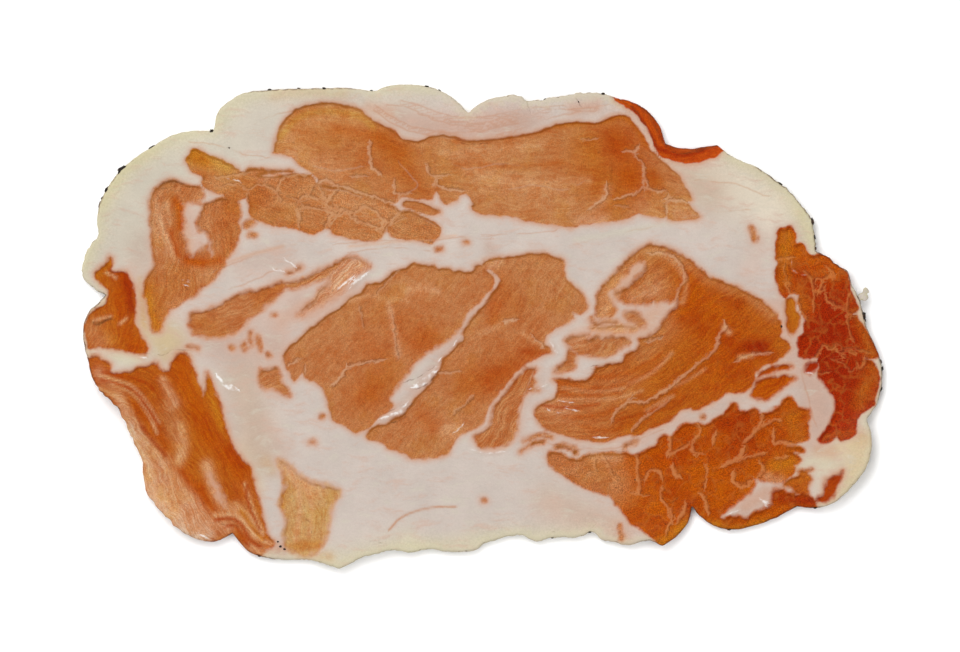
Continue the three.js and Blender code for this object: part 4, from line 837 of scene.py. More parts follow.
# fine pink and tan lines that run through the fat: width and line
fatLines = [
    (0.14, [-13.7, 15.4, -13.4, 16.4, -12, 17.3, -9.6, 16.6, -7, 15.2]),
    (0.12, [-24.2, 20.6, -21, 20.4, -18, 19.4]), (0.12, [-12.4, 24.4, -10.6, 22.6, -9.6, 21, -11, 20]),
    (0.12, [-5, 24.4, -2, 23.6, 2, 24.4, 6, 24]), (0.12, [4, 20.6, 8, 21.2, 12, 20.4, 15, 21.6]),
    (0.12, [-25, 24, -22, 23.4, -18, 24]),
    (0.14, [-15.8, 33.1, -12.7, 31, -9.7, 29.9, -5.2, 29, -1.2, 29.3, 2.9, 30.4, 5.6, 31.1]),
    (0.1, [-14.1, 33.4, -11, 32.9, -8, 31.7, -4.6, 31, -1.2, 30.5, 2.3, 31.2, 5.6, 32.2]),
    (0.14, [-16.1, 32.4, -13.4, 30.4, -10, 29.2, -6.9, 28.6, -3.5, 28.1, -0.1, 28, 2.9, 28.4, 7, 29.9]),
    (0.1, [-12, 33.9, -8.6, 33, -5, 31.8, -1, 31.4, 3, 32, 7, 32.8, 12, 33.2]),
    (0.08, [-11, 30.3, -7, 29.5, -3, 29.1, 0.6, 29.5, 4, 30.3, 9, 31.3]),
    (0.08, [-9.6, 32, -6, 30.7, -2, 30, 1.4, 30.4, 5, 31.4, 10, 32.2]),
    (0.1, [2, 28.7, 5.6, 29.7, 9, 30.9, 13, 31.9, 17, 32.5]),
    (0.08, [8, 33.1, 12, 32.5, 17, 33, 20, 33.5]), (0.08, [-34, 30.4, -31, 31.8, -27, 33]),
    (0.08, [-44, 27.8, -40, 27.3, -36, 25.9, -32, 25.4]),
    (0.1, [-42, 7.6, -37, 9.6, -32, 11.4, -27, 12.6]), (0.08, [-38, 5.6, -33, 7.6, -28, 10.2]),
    (0.1, [-22, 12.4, -16, 13, -10, 12.8, -4, 13.4, 1, 13.2]), (0.08, [-20, 11.2, -14, 11.8, -8, 11.4]),
    (0.08, [0, 13.8, 6, 13.9, 11, 14.6]), (0.08, [12, 11, 15, 12.6, 20, 13.9, 26, 15]),
    (0.08, [30, 16.4, 35, 17, 40, 17.6]), (0.08, [32, 22, 38, 21.4, 43, 19.6]),
    (0.1, [-14, -30.5, -12, -28.5, -8, -27.2, -4, -27]), (0.08, [8, -6, 6.4, -10, 5.4, -14]),
    (0.08, [9.4, -17.4, 15, -18.4, 21, -17.9, 27, -15.4]), (0.08, [46, -1, 47.6, -6, 49, -11, 50, -15]),
    (0.1, [-52, 27.2, -46, 29.4, -42, 30]),
]

# fine dark cracks and shadow lines: width and line
darkLines = [
    (0.2, [-13.4, -14.4, -12.4, -14, -11.6, -13.4]), (0.18, [-12, -13, -11.2, -12.2, -10.6, -11.6]),
    (0.2, [-9.8, -9.4, -8.6, -8.7, -7.4, -7.8, -6.6, -7]), (0.1, [-8, -6.6, -7.4, -6.3, -7.1, -5.7]),
    (0.16, [-11.8, -8.3, -10.4, -7.9, -9, -7.3]), (0.14, [-14, -12.8, -12.8, -12.2, -12.2, -11.9]),
    (0.12, [6.6, 34.4, 6.9, 33.2, 7.1, 32.4]), (0.1, [14, 34.3, 14.4, 33.6, 14.6, 33.2]),
    (0.1, [22, 33.2, 23.6, 31.4, 25, 29.2, 25.8, 27.4]), (0.1, [-15.9, -4.9, -15.1, -5.1]),
    (0.09, [-18.3, -5.9, -17.3, -5.5, -16.3, -5.3]),
    (0.12, [16.6, -5.9, 18, -5.7, 20.3, -5.5, 21.2, -5.1]), (0.1, [16.3, -6.9, 18, -6.5, 19, -5.9]),
    (0.1, [24.8, -2.2, 25.6, -2, 26.8, -1.6]), (0.1, [28.5, 2.2, 29.6, 2.6]),
    (0.1, [29.5, 1.2, 30.6, 2.6]), (0.1, [28, -26.5, 29, -26, 29.8, -25.5]),
    (0.12, [31.1, -28.7, 30.8, -29.8, 30.2, -30.5, 29.3, -31.2, 28.3, -32]),
    (0.12, [-50.7, -3.9, -49, -4.1, -48, -4.3, -47.3, -4, -46.8, -3.7, -46, -3.5, -44.3, -3.6]),
    (0.11, [-58.8, 1, -58, 0.4, -57, 0.7, -56.2, 1.2, -55.6, 1.2]),
    (0.1, [-48.3, 20.6, -46.5, 21, -44.5, 21, -43, 20.9]), (0.11, [-39, -29.8, -37.5, -29.8, -36.5, -30]),
    (0.12, [20.4, 33.9, 22.6, 32.7, 24, 31.2, 25.3, 28.9, 26.4, 26.9]),
    (0.12, [27.6, 26.4, 30, 25.9, 33, 26.5, 35, 27]), (0.1, [-4, 27.9, -2, 27.4, 1, 27.5]),
    (0.16, [44.84, 0.03, 44.9, -0.03]), (0.1, [-38.05, 26.9, -37.95, 26.9]),
    (0.1, [16.7, -29.9, 16.8, -29.8]), (0.12, [10.6, -30.8, 10.7, -30.8]),
    (0.12, [-15.4, -32.4, -15.3, -32.4]), (0.11, [-30.7, -32.3, -30.6, -32.3]),
    (0.14, [-30.3, -33, -30.1, -33.1]), (0.12, [-33.4, -34, -33, -34]), (0.1, [35.8, -30.1, 35.9, -30.1]),
    (0.1, [40.6, -29.7, 40.7, -29.7]),
]

# stretches of the rim that are ragged
raggedRims = [
    [-59, 4, -60, 9, -58.6, 15], [-58, -9, -54, -16, -50.5, -24, -45, -30],
    [-26, -36, -18, -34, -8, -31.6, 2, -31.6, 12, -31, 20, -32], [45, 21, 49, 15, 53, 9.6],
    [4, 34.6, 12, 34.8, 20, 34.6],
]

# stretches of the rim that have dried dark
darkRims = [
    [56.6, 4.3, 57, 2.7, 57.8, -0.3, 59, -3.2, 60, -7, 59.8, -10],
    [50, -26.8, 47, -27.2, 44, -28.9, 38, -30.8, 34.6, -30.1, 32, -28],
    [29.4, -31.4, 27, -33.2, 25, -32.3],
    [20.4, 34.6, 23.5, 33.4, 26.2, 31, 27.4, 27.8, 31, 27, 35.4, 27.4],
    [-56.4, 4.7, -58.5, 3, -60, -0.2, -59.4, -5, -58, -9, -55, -12.2],
    [-32, -35.2, -36, -34.2, -37.8, -31.4, -40.4, -32.6], [49.6, 15.6, 49.8, 12.4, 53, 9.8, 55.4, 7],
    [42, 23.6, 44.5, 21.4, 46.6, 19.4, 48.4, 17, 49.3, 14.6],
    [-34, 35.4, -30, 35.6, -26, 35.9, -20, 36.2], [-57.8, 18, -56.8, 20, -54.4, 23.4],
]


# how the muscles, the fine lines and the strokes are laid on
paintForm = {
    "wander": ((1.2, 0.15, 11), (0.5, 0.07, 13)),  # waves that bend the drawn lines: width, strength, seed
    "depthReach": 3.0,  # how far from a muscle's edge its depth is worked out
    "plainLook": 0.2,  # softness, fibres and marbling where no muscle is near
    "shadeTurn": 0.35,  # how much the edges on the left count as upper ones
    "fleckReach": 1.5,
    "fleckSoft": 0.28,  # softness of a fleck's edge
    "strokeReach": 2.4,  # how many times its reach a stroke still tints
    "lineReach": 1.6,
    "lineFade": (0.5, 0.2),  # how far beside a line it is gone, and still sure
    "rimReach": 4.0,  # how far in from the rim the distance to it is worked out
    "rimStrip": 40,  # points of the rim that are looked at together
    "darkReach": 2.0,
    "darkFade": (1.6, 0.4),  # how far from a dark stretch's line the rim is plain, and still fully dark
}


def wandered(places):
    # the places moved a little at random, so that drawn lines come out as uneven as muscle edges
    moved = places
    for size, amount, seed in paintForm["wander"]:
        stray = [softNoise(places, size, seed), softNoise(places, size, seed + 1)]
        moved = moved + np.stack(stray, 1) * amount
    return moved


def strokeWeight(places, line, reach):
    # which places a soft stroke along a line touches, and how strongly
    rows = nearLine(places, line, paintForm["strokeReach"] * reach)
    return rows, np.exp(-(alongLine(places[rows], line)[0] / reach) ** 2)


def readMuscles(places):
    # how deep each place lies in lean, and the look of the muscle there
    bent = wandered(places)
    lean = np.full(len(places), -paintForm["depthReach"])
    look = {key: np.full(len(places), paintForm["plainLook"]) for key in ("soft", "fibre", "marble")}
    tone = np.tile(toneOf("clay"), (len(places), 1))
    grain = np.zeros((len(places), 2))
    shade = np.zeros(len(places))
    for name, outline in muscles.items():
        edge = smoothCurve(outline, closed=True, cuts=2)
        rows = nearLine(bent, edge, paintForm["depthReach"])
        away, _, _, stretch = alongLine(bent[rows], edge, closed=True)
        depth = np.where(isInside(bent[rows], edge), away, -away)
        run = np.roll(edge, -1, 0) - edge
        facing = run[stretch] / np.maximum(np.hypot(*run[stretch].T), 1e-9)[:, None]
        facing = np.stack([facing[:, 1], -facing[:, 0]], 1)
        turn = (edge[:, 0] * np.roll(edge[:, 1], -1) - edge[:, 1] * np.roll(edge[:, 0], -1)).sum()
        upward = (facing[:, 1] - paintForm["shadeTurn"] * facing[:, 0]) * (1 if turn > 0 else -1)
        deeper = depth > lean[rows]
        rows, depth, upward = rows[deeper], depth[deeper], upward[deeper]
        lean[rows] = depth
        # how much each edge faces up and to the left; the material paints a shadow line there
        shade[rows] = np.clip(upward, 0, 1)
        toneName, *strengths, grainName = muscleLook[name]
        for values, strength in zip(look.values(), strengths):
            values[rows] = strength
        tone[rows] = toneOf(toneName)
        line = smoothCurve(grainLines[grainName], closed=False, cuts=4)
        across, side, along, _ = alongLine(bent[rows], line)
        grain[rows] = np.stack([along, across * side], 1)
    for outline in gaps.values():
        edge = smoothCurve(outline, closed=True, cuts=2)
        lean = np.minimum(lean, -depthInside(bent, edge, paintForm["depthReach"]))
    for radius, numbers in leanFlecks:
        line = asPlaces(numbers)
        rows = nearLine(bent, line, paintForm["fleckReach"])
        fleck = radius - alongLine(bent[rows], line)[0]
        fresh = fleck > lean[rows]
        look["soft"][rows[fresh]] = paintForm["fleckSoft"]
        tone[rows[fresh]] = toneOf("clay")
        lean[rows] = np.maximum(lean[rows], fleck)
    for more, reach, numbers in softPlaces:
        rows, weight = strokeWeight(places, asPlaces(numbers), reach)
        look["soft"][rows] += more * weight
    return lean, look, tone, grain, shade


def patched(places, tone, patches):
    # soft patches of other tones laid over the base one
    tone = tone.copy()
    for name, reach, strength, numbers in patches:
        rows, weight = strokeWeight(places, drawnLine(numbers), reach)
        tone[rows] += strength * weight[:, None] * (toneOf(name) - tone[rows])
    return tone


def readLines(places, lines):
    # the nearest of many fine lines: signed distance from its middle, how surely it is there, its width
    bent = wandered(places)
    nearest = np.full(len(places), 9.0)
    side, width = np.zeros(len(places)), np.full(len(places), 0.1)
    for wide, numbers in lines:
        line = drawnLine(numbers)
        rows = nearLine(bent, line, paintForm["lineReach"])
        away, turned, _, _ = alongLine(bent[rows], line)
        fresh = away - wide / 2 < nearest[rows] - width[rows] / 2
        rows, away, turned = rows[fresh], away[fresh], turned[fresh]
        nearest[rows], side[rows], width[rows] = away, away * turned, wide
    gone, sure = paintForm["lineFade"]
    return side, smoothStep(nearest, width / 2 + gone, width / 2 + sure), width


def upperHeight(places, paint, lift):
    # the upper cut face: dried lean lies low, fat and veins stand proud
    form = sliceForm
    sunk = smoothStep(paint["lean"], -form["sinkReach"], form["sinkReach"])
    height = lift + form["thickness"] - form["leanSink"] * sunk
    height += form["fatSwell"] * noiseSum(places, form["fatWaves"]) * (1 - sunk)
    height += form["leanGrit"] * noiseSum(places, form["leanWaves"]) * sunk
    for kind, rise in form["lineRise"].items():
        across = np.abs(paint[kind + "Side"]) / (paint[kind + "Width"] + form["lineSlope"])
        height += rise * paint[kind + "Near"] * smoothStep(across, 1, 0)
    return height


def readPaint(places, rim):
    # everything that the material and the relief need at each place
    lean, look, tone, grain, shade = readMuscles(places)
    inward = rimDistance(places, rim)
    paint = {
        "lean": lean, **look, "shade": shade, "rim": inward, "rimDark": rimDarkness(places),
        "leanTone": patched(places, tone, leanPatches),
        "fatTone": patched(places, np.tile(toneOf("pearl"), (len(places), 1)), fatPatches),
        "grain": grain,
    }
    for kind, lines in (("vein", veins), ("wetGlint", wetGlintSeams), ("crackAndShadow", darkLines), ("thread", fatLines)):
        paint[kind + "Side"], paint[kind + "Near"], paint[kind + "Width"] = readLines(places, lines)
    return paint


def rimDistance(places, rim):
    # distance from the rim, worked out strip by strip, and only near it
    reach, strip = paintForm["rimReach"], paintForm["rimStrip"]
    inward = np.full(len(places), reach)
    for start in range(0, len(rim), strip):
        part = np.take(rim, range(start, start + strip + 1), axis=0, mode="wrap")
        rows = nearLine(places, part, reach)
        inward[rows] = np.minimum(inward[rows], alongLine(places[rows], part)[0])
    return inward


def rimDarkness(places):
    darkness = np.zeros(len(places))
    for numbers in darkRims:
        line = drawnLine(numbers)
        rows = nearLine(places, line, paintForm["darkReach"])
        away = alongLine(places[rows], line)[0]
        darkness[rows] = np.maximum(darkness[rows], smoothStep(away, *paintForm["darkFade"]))
    return darkness


def faceGrid(bm, step, rim):
    # a fine grid over the slice's box, cut back to just inside the rim
    width, depth = rim.max(0) - rim.min(0)
    middle = (rim.max(0) + rim.min(0)) / 2
    size = Matrix.Diagonal((width * mm, depth * mm, 1, 1))
    place = Matrix.Translation((middle[0] * mm, middle[1] * mm, 0)) @ size
    made = bmesh.ops.create_grid(
        bm, x_segments=round(width / step), y_segments=round(depth / step), size=0.5, matrix=place)
    verts = made["verts"]
    places = np.array([vert.co.xy[:] for vert in verts]) / mm
    inside = isInsideRim(places, rim)
    inward = rimDistance(places, rim)
    outer = [vert for vert, kept in zip(verts, inside & (inward > sliceForm["ringWidth"])) if not kept]
    bmesh.ops.delete(bm, geom=outer, context="VERTS")
    kept = [vert for vert in verts if vert.is_valid]
    while True:
        # corners where the grid only touches itself would leave a crossed border
        pinched = [vert for vert in kept if sum(edge.is_boundary for edge in vert.link_edges) != 2
                   and (vert.is_boundary or not vert.link_faces)]
        if not pinched:
            break
        bmesh.ops.delete(bm, geom=pinched, context="VERTS")
        kept = [vert for vert in kept if vert.is_valid]
    return kept


def isInsideRim(places, rim, batch=4000):
    result = np.zeros(len(places), bool)
    for start in range(0, len(places), batch):
        result[start:start + batch] = isInside(places[start:start + batch], rim)
    return result


def sliceMesh():
    rim, tree = frameRim()
    rim = driedRim(rim)
    field = LiftField(tree)
    bm = bmesh.new()

    # the rim is a circle moved to its points, and the wall is drawn down from it row by row
    loop = bmesh.ops.create_circle(bm, segments=len(rim), radius=1, cap_ends=False)["verts"]
    rows = []
    for _ in wallRows:
        if rows:
            edges = [edge for edge in bm.edges if edge.verts[0] in rows[-1] and edge.verts[1] in rows[-1]]
            made = bmesh.ops.extrude_edge_only(bm, edges=edges)["geom"]
            loop = [item for item in made if isinstance(item, bmesh.types.BMVert)]
        rows.append(dict.fromkeys(loop))
    bm.verts.ensure_lookup_table()
    ordered = [list(rows[0])]
    for row in rows[1:]:
        above = {vert: edge.other_vert(vert) for vert in ordered[-1] for edge in vert.link_edges
                 if edge.other_vert(vert) in row}
        ordered.append([above[vert] for vert in ordered[-1]])
    for (inset, part), row in zip(wallRows, ordered):
        for vert, place in zip(row, pulledIn(rim, inset) if inset else rim):
            vert.co = (place[0] * mm, place[1] * mm, part * mm)

    # both cut faces are grids, joined to the wall by a ring of triangles
    faces = {}
    for name, border, step in (("top", ordered[0], sliceForm["topStep"]),
                               ("under", ordered[-1], sliceForm["underStep"])):
        grid = faceGrid(bm, step, rim)
        gridSet, borderSet = set(grid), set(border)
        ring = [edge for edge in bm.edges if edge.is_boundary and (
            (edge.verts[0] in gridSet and edge.verts[1] in gridSet)
            or (edge.verts[0] in borderSet and edge.verts[1] in borderSet))]
        for vert in grid + border:
            vert.co.z = mm if name == "top" else 0
        bmesh.ops.triangle_fill(bm, use_beauty=True, use_dissolve=False, edges=ring,
                                normal=(0, 0, 1 if name == "top" else -1))
        faces[name] = grid
        print(name, "face:", len(grid), "points, ring edges", len(ring))
    bmesh.ops.recalc_face_normals(bm, faces=bm.faces)

    # heights and paint
    verts = list(bm.verts)
    bm.verts.index_update()
    places = np.array([vert.co.xy[:] for vert in verts]) / mm
    paint = readPaint(places, rim)
    lift = field.at(places)
    upper = upperHeight(places, paint, lift)
    share = np.zeros(len(verts))
    for vert in faces["top"]:
        share[vert.index] = 1
    for (_, part), row in zip(wallRows, ordered):
        for vert in row:
            share[vert.index] = part
    heights = lift + (upper - lift) * share
    for vert, height in zip(verts, heights):
        vert.co.z = height * mm
    openEdges = sum(len(edge.link_faces) != 2 for edge in bm.edges)
    print("slice:", len(bm.verts), "points,", sum(len(face.verts) - 2 for face in bm.faces), "triangles,",
          openEdges, "open edges")
    mesh = finishedMesh(bm, "coppaSlice")
    for name, values in paint.items():
        if values.ndim == 1:
            mesh.attributes.new(name, "FLOAT", "POINT").data.foreach_set("value", values.astype(float))
    for name in ("leanTone", "fatTone"):
        colour = np.concatenate([paint[name], np.ones((len(verts), 1))], 1)
        mesh.attributes.new(name, "FLOAT_COLOR", "POINT").data.foreach_set("color", colour.ravel())
    flow = np.concatenate([paint["grain"], np.zeros((len(verts), 1))], 1)
    mesh.attributes.new("grain", "FLOAT_VECTOR", "POINT").data.foreach_set("vector", flow.ravel())
    mesh.shade_smooth()
    return mesh, rim


# materials

class Wire:
    # one socket of a material: sums, products and the like of wires add Math nodes
    def __init__(self, tree, socket=None):
        self.tree, self.socket = tree, socket

    def node(self, kind, settings=None, inputs=None, output=0):
        # any node: its settings first, then the values or wires of its sockets
        made = self.tree.nodes.new(kind)
        for name, value in (settings or {}).items():
            setattr(made, name, value)
        for name, value in (inputs or {}).items():
            if isinstance(value, Wire):
                self.tree.links.new(value.socket, made.inputs[name])
            else:
                made.inputs[name].default_value = value
        return Wire(self.tree, made.outputs[output] if len(made.outputs) else None)

    def maths(self, operation, *values):
        return self.node("ShaderNodeMath", {"operation": operation}, dict(enumerate(values)))

    def __add__(self, other):
        return self.maths("ADD", self, other)

    def __sub__(self, other):
        return self.maths("SUBTRACT", self, other)

    def __rsub__(self, other):
        return self.maths("SUBTRACT", other, self)

    def __mul__(self, other):
        return self.maths("MULTIPLY", self, other)

    def __abs__(self):
        return self.maths("ABSOLUTE", self)

    __radd__, __rmul__ = __add__, __mul__

    def step(self, low, high):
        # 0 at low and 1 at high, smoothly, whichever of the two is larger
        return self.node("ShaderNodeMapRange", {"interpolation_type": "SMOOTHSTEP"},
                         {"Value": self, "From Min": low, "From Max": high})

    def colour(self, other, amount):
        # this colour turned towards another by an amount
        return self.node("ShaderNodeMix", {"data_type": "RGBA"}, {0: amount, 6: self, 7: other}, 2)

    def between(self, low, high):
        # this value as a colour between two named tones
        tones = {6: flatColour(low), 7: flatColour(high)}
        return self.node("ShaderNodeMix", {"data_type": "RGBA"}, {0: self, **tones}, 2)

    def times(self, other):
        # this colour or vector times another
        return self.node("ShaderNodeVectorMath", {"operation": "MULTIPLY"}, {0: self, 1: other})

    def scaled(self, amount):
        # this colour or vector times a number
        return self.node("ShaderNodeVectorMath", {"operation": "SCALE"}, {0: self, "Scale": amount})

    def plus(self, other):
        return self.node("ShaderNodeVectorMath", {"operation": "ADD"}, {0: self, 1: other})

    def noise(self, scale, detail=2.0, roughness=0.5, output=0):
        return self.node("ShaderNodeTexNoise", {},
                         {"Vector": self, "Scale": scale, "Detail": detail, "Roughness": roughness}, output)


def flatColour(name):
    return (*toneOf(name), 1.0)


def newMaterial(name):
    # an empty material, the first wire of its nodes, and the place on the slice in millimetres
    material = bpy.data.materials.new(name)
    material.use_nodes = True
    material.node_tree.nodes.clear()
    start = Wire(material.node_tree)
    return material, start, start.node("ShaderNodeTexCoord", output=3).scaled(1 / mm)


def addSurface(start, inputs):
    surface = start.node("ShaderNodeBsdfPrincipled", {}, inputs)
    start.node("ShaderNodeOutputMaterial", {}, {"Surface": surface})


def bump(start, depth, height):
    return start.node("ShaderNodeBump", {}, {"Strength": 1.0, "Distance": depth, "Height": height})


meatFinish = {
    "leanGloss": 0.32,
    "fatGloss": 0.26,
    "glossSpread": 0.16,
    "wetGloss": 0.15,  # how much smoother the wet seams are
    "bending": 1.4,  # of light
    "shine": 0.05,
    "coat": 0.01,
    "coatGloss": 0.15,
    "reliefDepth": 0.00012,
    "bundleSize": 2.8,  # millimetres across a bundle of muscle
    "bundleBend": 3.2,
    "fibreSway": 3.2,
    "netWidth": 0.12,
    "netShadowShift": (-0.12, 0.32, 0),  # where the shadow beside the net falls
    "lineCore": 0.42,  # part of a fine line's width that is its full tone
    "veinMost": 0.68,  # the strongest that a vein covers the lean
    "brownMost": 0.85,
    # what the tone of the lean is multiplied by, in red, green and blue
    "tints": {
        "deep": (0.8, 0.52, 0.3),
        "ruddy": (0.95, 0.66, 0.4),
        "golden": (0.98, 0.94, 0.42),
        "pale": (1.16, 1.45, 1.6),
    },
    "shadowTint": (0.56, 0.42, 0.3),
    # noise over the cut face: bumps per millimetre, detail and roughness
    "noise": {
        "ragged": (0.8, 3, 0.55),
        "wave": (1.4, 3, 0.6),
        "patchy": (0.7, 3, 0.6),
        "broad": (0.2, 3, 0.6),
        "blotch": (0.6, 5, 0.65),
        "mottle": (1.5, 4, 0.7),
        "grit": (3.6, 3, 0.75),
        "dust": (6.5, 1, 0.5),
        "cloud": (0.2, 4, 0.6),
        "crust": (1.5, 3, 0.7),
    },
    # noise that runs with the fibres: bumps per millimetre along and across them, detail and roughness
    "fibreNoise": {
        "torn": (0.35, 1.7, 3, 0.55),
        "strand": (0.11, 0.95, 3, 0.55),
        "thread": (0.3, 3.2, 3, 0.6),
        "speck": (1.2, 3.2, 1, 0.4),
    },
}


def meatMaterial():
    # a layer reads noise.step(where it is none, where it is full) * its strength
    finish = meatFinish
    material, start, place = newMaterial("curedMeat")

    def read(name, output=2):
        return start.node("ShaderNodeAttribute", {"attribute_name": name}, output=output)

    def line(kind, waver, fade):
        # 1 on the middle of one kind of fine line, 0 beside it
        away = abs(read(kind + "Side") + waver) - read(kind + "Width") * finish["lineCore"]
        return away.step(fade, -fade) * read(kind + "Near")

    lean, soft, fibre, marble, shade = (read(n) for n in ("lean", "soft", "fibre", "marble", "shade"))
    rim, rimDark = read("rim"), read("rimDark")
    ragged, wave, patchy, broad, blotch, mottle, grit, dust, cloud, crust = (
        place.noise(*values) for values in finish["noise"].values())
    sway = place.noise(0.2, 2, 0.5, output=1).times(Vector((0, finish["fibreSway"], 0)))
    flow = read("grain", output=1).plus(sway)
    torn, strand, thread, speck = (flow.times(Vector((along, across, 1))).noise(1.0, *values)
                                   for along, across, *values in finish["fibreNoise"].values())

    # lean against fat: a ragged edge, torn along the fibres where it is soft
    edge = lean + (marble * 0.4 + 0.06) + (ragged - 0.5) * (soft * 3.4 + 0.34)
    edge = edge + (torn - 0.5) * soft * fibre * 3.0
    reach = soft * 1.2 + 0.08
    isLean = edge.node("ShaderNodeMapRange", {"interpolation_type": "SMOOTHSTEP"},
                       {"Value": edge, "From Min": reach * -1, "From Max": reach})
    isFat = 1 - isLean

    # veins as drawn, and the net of thin ones round the bundles
    waver = (wave - 0.5) * 1.1
    strength = (read("veinWidth") * 1.2 + 0.25) * (0.55 + patchy.step(0.36, 0.6) * 0.45)
    vein = line("vein", waver, 0.2) * strength.maths("MINIMUM", strength, finish["veinMost"])
    bent = place.plus(place.noise(0.45, 2, 0.5, output=1).scaled(finish["bundleBend"]))
    cells = {"Vector": bent, "Scale": 1 / finish["bundleSize"], "Randomness": 0.9}
    net = start.node("ShaderNodeTexVoronoi", {"feature": "DISTANCE_TO_EDGE"}, cells)
    bundle = start.node("ShaderNodeTexVoronoi", {"feature": "F1"}, cells, 1)
    bundleTone = bundle.node("ShaderNodeSeparateColor", {}, {0: bundle})
    netLine = net.step(finish["netWidth"], 0.0) * marble * (0.2 + patchy.step(0.4, 0.6) * 0.8) * 0.8
    netShadow = start.node("ShaderNodeTexVoronoi", {"feature": "DISTANCE_TO_EDGE"},
                     {**cells, "Vector": bent.plus(Vector(finish["netShadowShift"]))})
    isVein = vein.maths("MAXIMUM", vein, netLine)

    # fibres, blotches and grain of the lean: tint, noise, its values where it is none and full, strength
    leanTone = read("leanTone", output=0)
    deep, ruddy, golden, pale = (leanTone.times(Vector(tint)) for tint in finish["tints"].values())
    threadShare = fibre * 0.75 + 0.08
    lively = leanTone
    for tint, noise, none, full, share in (
            (ruddy, broad, 0.5, 0.66, 0.55), (golden, broad, 0.5, 0.36, 0.45),
            (deep, blotch, 0.5, 0.68, 0.5), (pale, blotch, 0.48, 0.3, 0.42),
            (deep, mottle, 0.5, 0.68, 0.5), (pale, mottle, 0.48, 0.3, 0.45),
            (deep, strand, 0.49, 0.6, fibre * 0.7), (pale, strand, 0.48, 0.38, fibre * 0.55),
            (deep, thread, 0.5, 0.62, threadShare), (pale, thread, 0.48, 0.36, threadShare),
            (deep, bundleTone, 0.4, 1.0, marble * 0.6), (pale, bundleTone, 0.45, 0.0, marble * 0.5)):
        lively = lively.colour(tint, noise.step(none, full) * share)
    lively = lively.colour(flatColour("bark"), speck.step(0.64, 0.76) * 0.25)
    # painted shadow: a dark line just beside each line of the net, on one side only
    lively = lively.colour(flatColour("bark"), netShadow.step(0.1, 0.0) * marble * patchy.step(0.4, 0.6) * 0.3)
    lively = lively.scaled(0.7 + grit * 0.6 + (dust - 0.5) * (0.3 + fibre * 1.1 + marble * 2.6))
    lively = lively.colour(deep, isVein.step(0.02, 0.25) * 0.15)
    # painted shadow: a dark line along one side of each vein
    veinShadowSide = abs(read("veinSide") + waver - read("veinWidth") * 0.5 - 0.1)
    lively = lively.colour(flatColour("bark"), veinShadowSide.step(0.2, 0.02) * read("veinNear") * 0.38)
    thin = line("thread", (broad - 0.5) * 0.8, 0.24) * broad.step(0.38, 0.54)
    lively = lively.colour(flatColour("oat"), thin * 0.35)
    # painted shadow: the lean just inside its upper and left edges is darkened
    paintedEdgeShadow = lean.step(-0.25, 0.03) * lean.step(0.4, 0.1) * shade
    lively = lively.colour(golden.times(Vector(finish["shadowTint"])), paintedEdgeShadow * 0.75)

    # fat: milky, faintly streaked, pinker beside the lean
    fatTone = read("fatTone", output=0)
    wrinkle = place.plus(sway).times(Vector((0.3, 0.9, 1))).noise(1.0, 5, 0.65)
    fat = fatTone.scaled(0.86 + cloud * 0.28)
    fat = fat.colour(flatColour("rose"), wrinkle.step(0.5, 0.7) * 0.5)
    fat = fat.colour(flatColour("chalk"), wrinkle.step(0.47, 0.28) * 0.55)
    fat = fat.colour(flatColour("rose"), lean.step(-1.4, -0.3) * 0.5)
    fat = fat.colour(flatColour("salmon"), lean.step(-0.8, 0.0) * 0.6)
    fat = fat.colour(flatColour("clay"), thin * 0.55)
    fat = fat.scaled(1 + (grit - 0.5) * (0.2 + rim.step(4.0, 0.5) * 0.4))

    # lean, fat and veins together
    tone = fat.colour(lively, isLean)
    veinTone = fatTone.colour(flatColour("peach"), 0.6 + marble * 0.8).colour(pale, 0.25 + marble * 0.3)
    veinTone = veinTone.colour(flatColour("glow"), (marble - 0.5) * 6)
    tone = tone.colour(flatColour("glow"), netLine * isLean * 0.55)
    tone = tone.colour(veinTone, vein * isLean)

    # wet seams with a painted highlight, and dark cracks with painted shadow lines
    wetGlint = line("wetGlint", waver * 0.5, 0.14) * ragged.step(0.36, 0.6)
    crackAndShadow = line("crackAndShadow", waver * 0.4, 0.1) * ragged.step(0.34, 0.58)
    # painted highlight: the wet seams are turned near white
    tone = tone.colour(flatColour("glint"), wetGlint * 0.85)
    # dark cracks, and along some seams painted shadow lines
    tone = tone.colour(flatColour("bark"), crackAndShadow * 0.6)

    # the rim has dried yellower, with dark bits where the spices were
    yellow = (rim + (mottle - 0.5) * 3).step(1.7, 0.1) * isFat * 0.45
    tone = tone.colour(flatColour("cream"), yellow)
    brown = rim.step(0.32, 0.02) * (crust.step(0.58, 0.68) * 0.8 + rimDark * crust.step(0.38, 0.55) * 0.7)
    tone = tone.colour(flatColour("bark"), brown.maths("MINIMUM", brown, finish["brownMost"]))

    # relief and gloss
    height = (strand * fibre * 0.7 + thread * fibre * 0.3 + mottle * 0.45) * isLean + grit * 0.22
    height = height + crust * rim.step(0.9, 0.1) * 0.8 + (wrinkle * 0.9 + cloud * 0.5) * isFat
    spread = finish["glossSpread"]
    gloss = (finish["leanGloss"] + grit * spread) * isLean + (finish["fatGloss"] + cloud * spread) * isFat
    addSurface(start, {
        "Base Color": tone, "Roughness": gloss - wetGlint * finish["wetGloss"], "IOR": finish["bending"],
        "Normal": bump(start, finish["reliefDepth"], height), "Specular IOR Level": finish["shine"],
        "Coat Weight": finish["coat"], "Coat Roughness": finish["coatGloss"],
    })
    return material


meshOfSlice, rimOfSlice = sliceMesh()
coppaSlice = addObject("coppaSlice", meshOfSlice)
meshOfSlice.materials.append(meatMaterial())
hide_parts("slice")
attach(coppaSlice, "root")
print("slice painted and dressed")


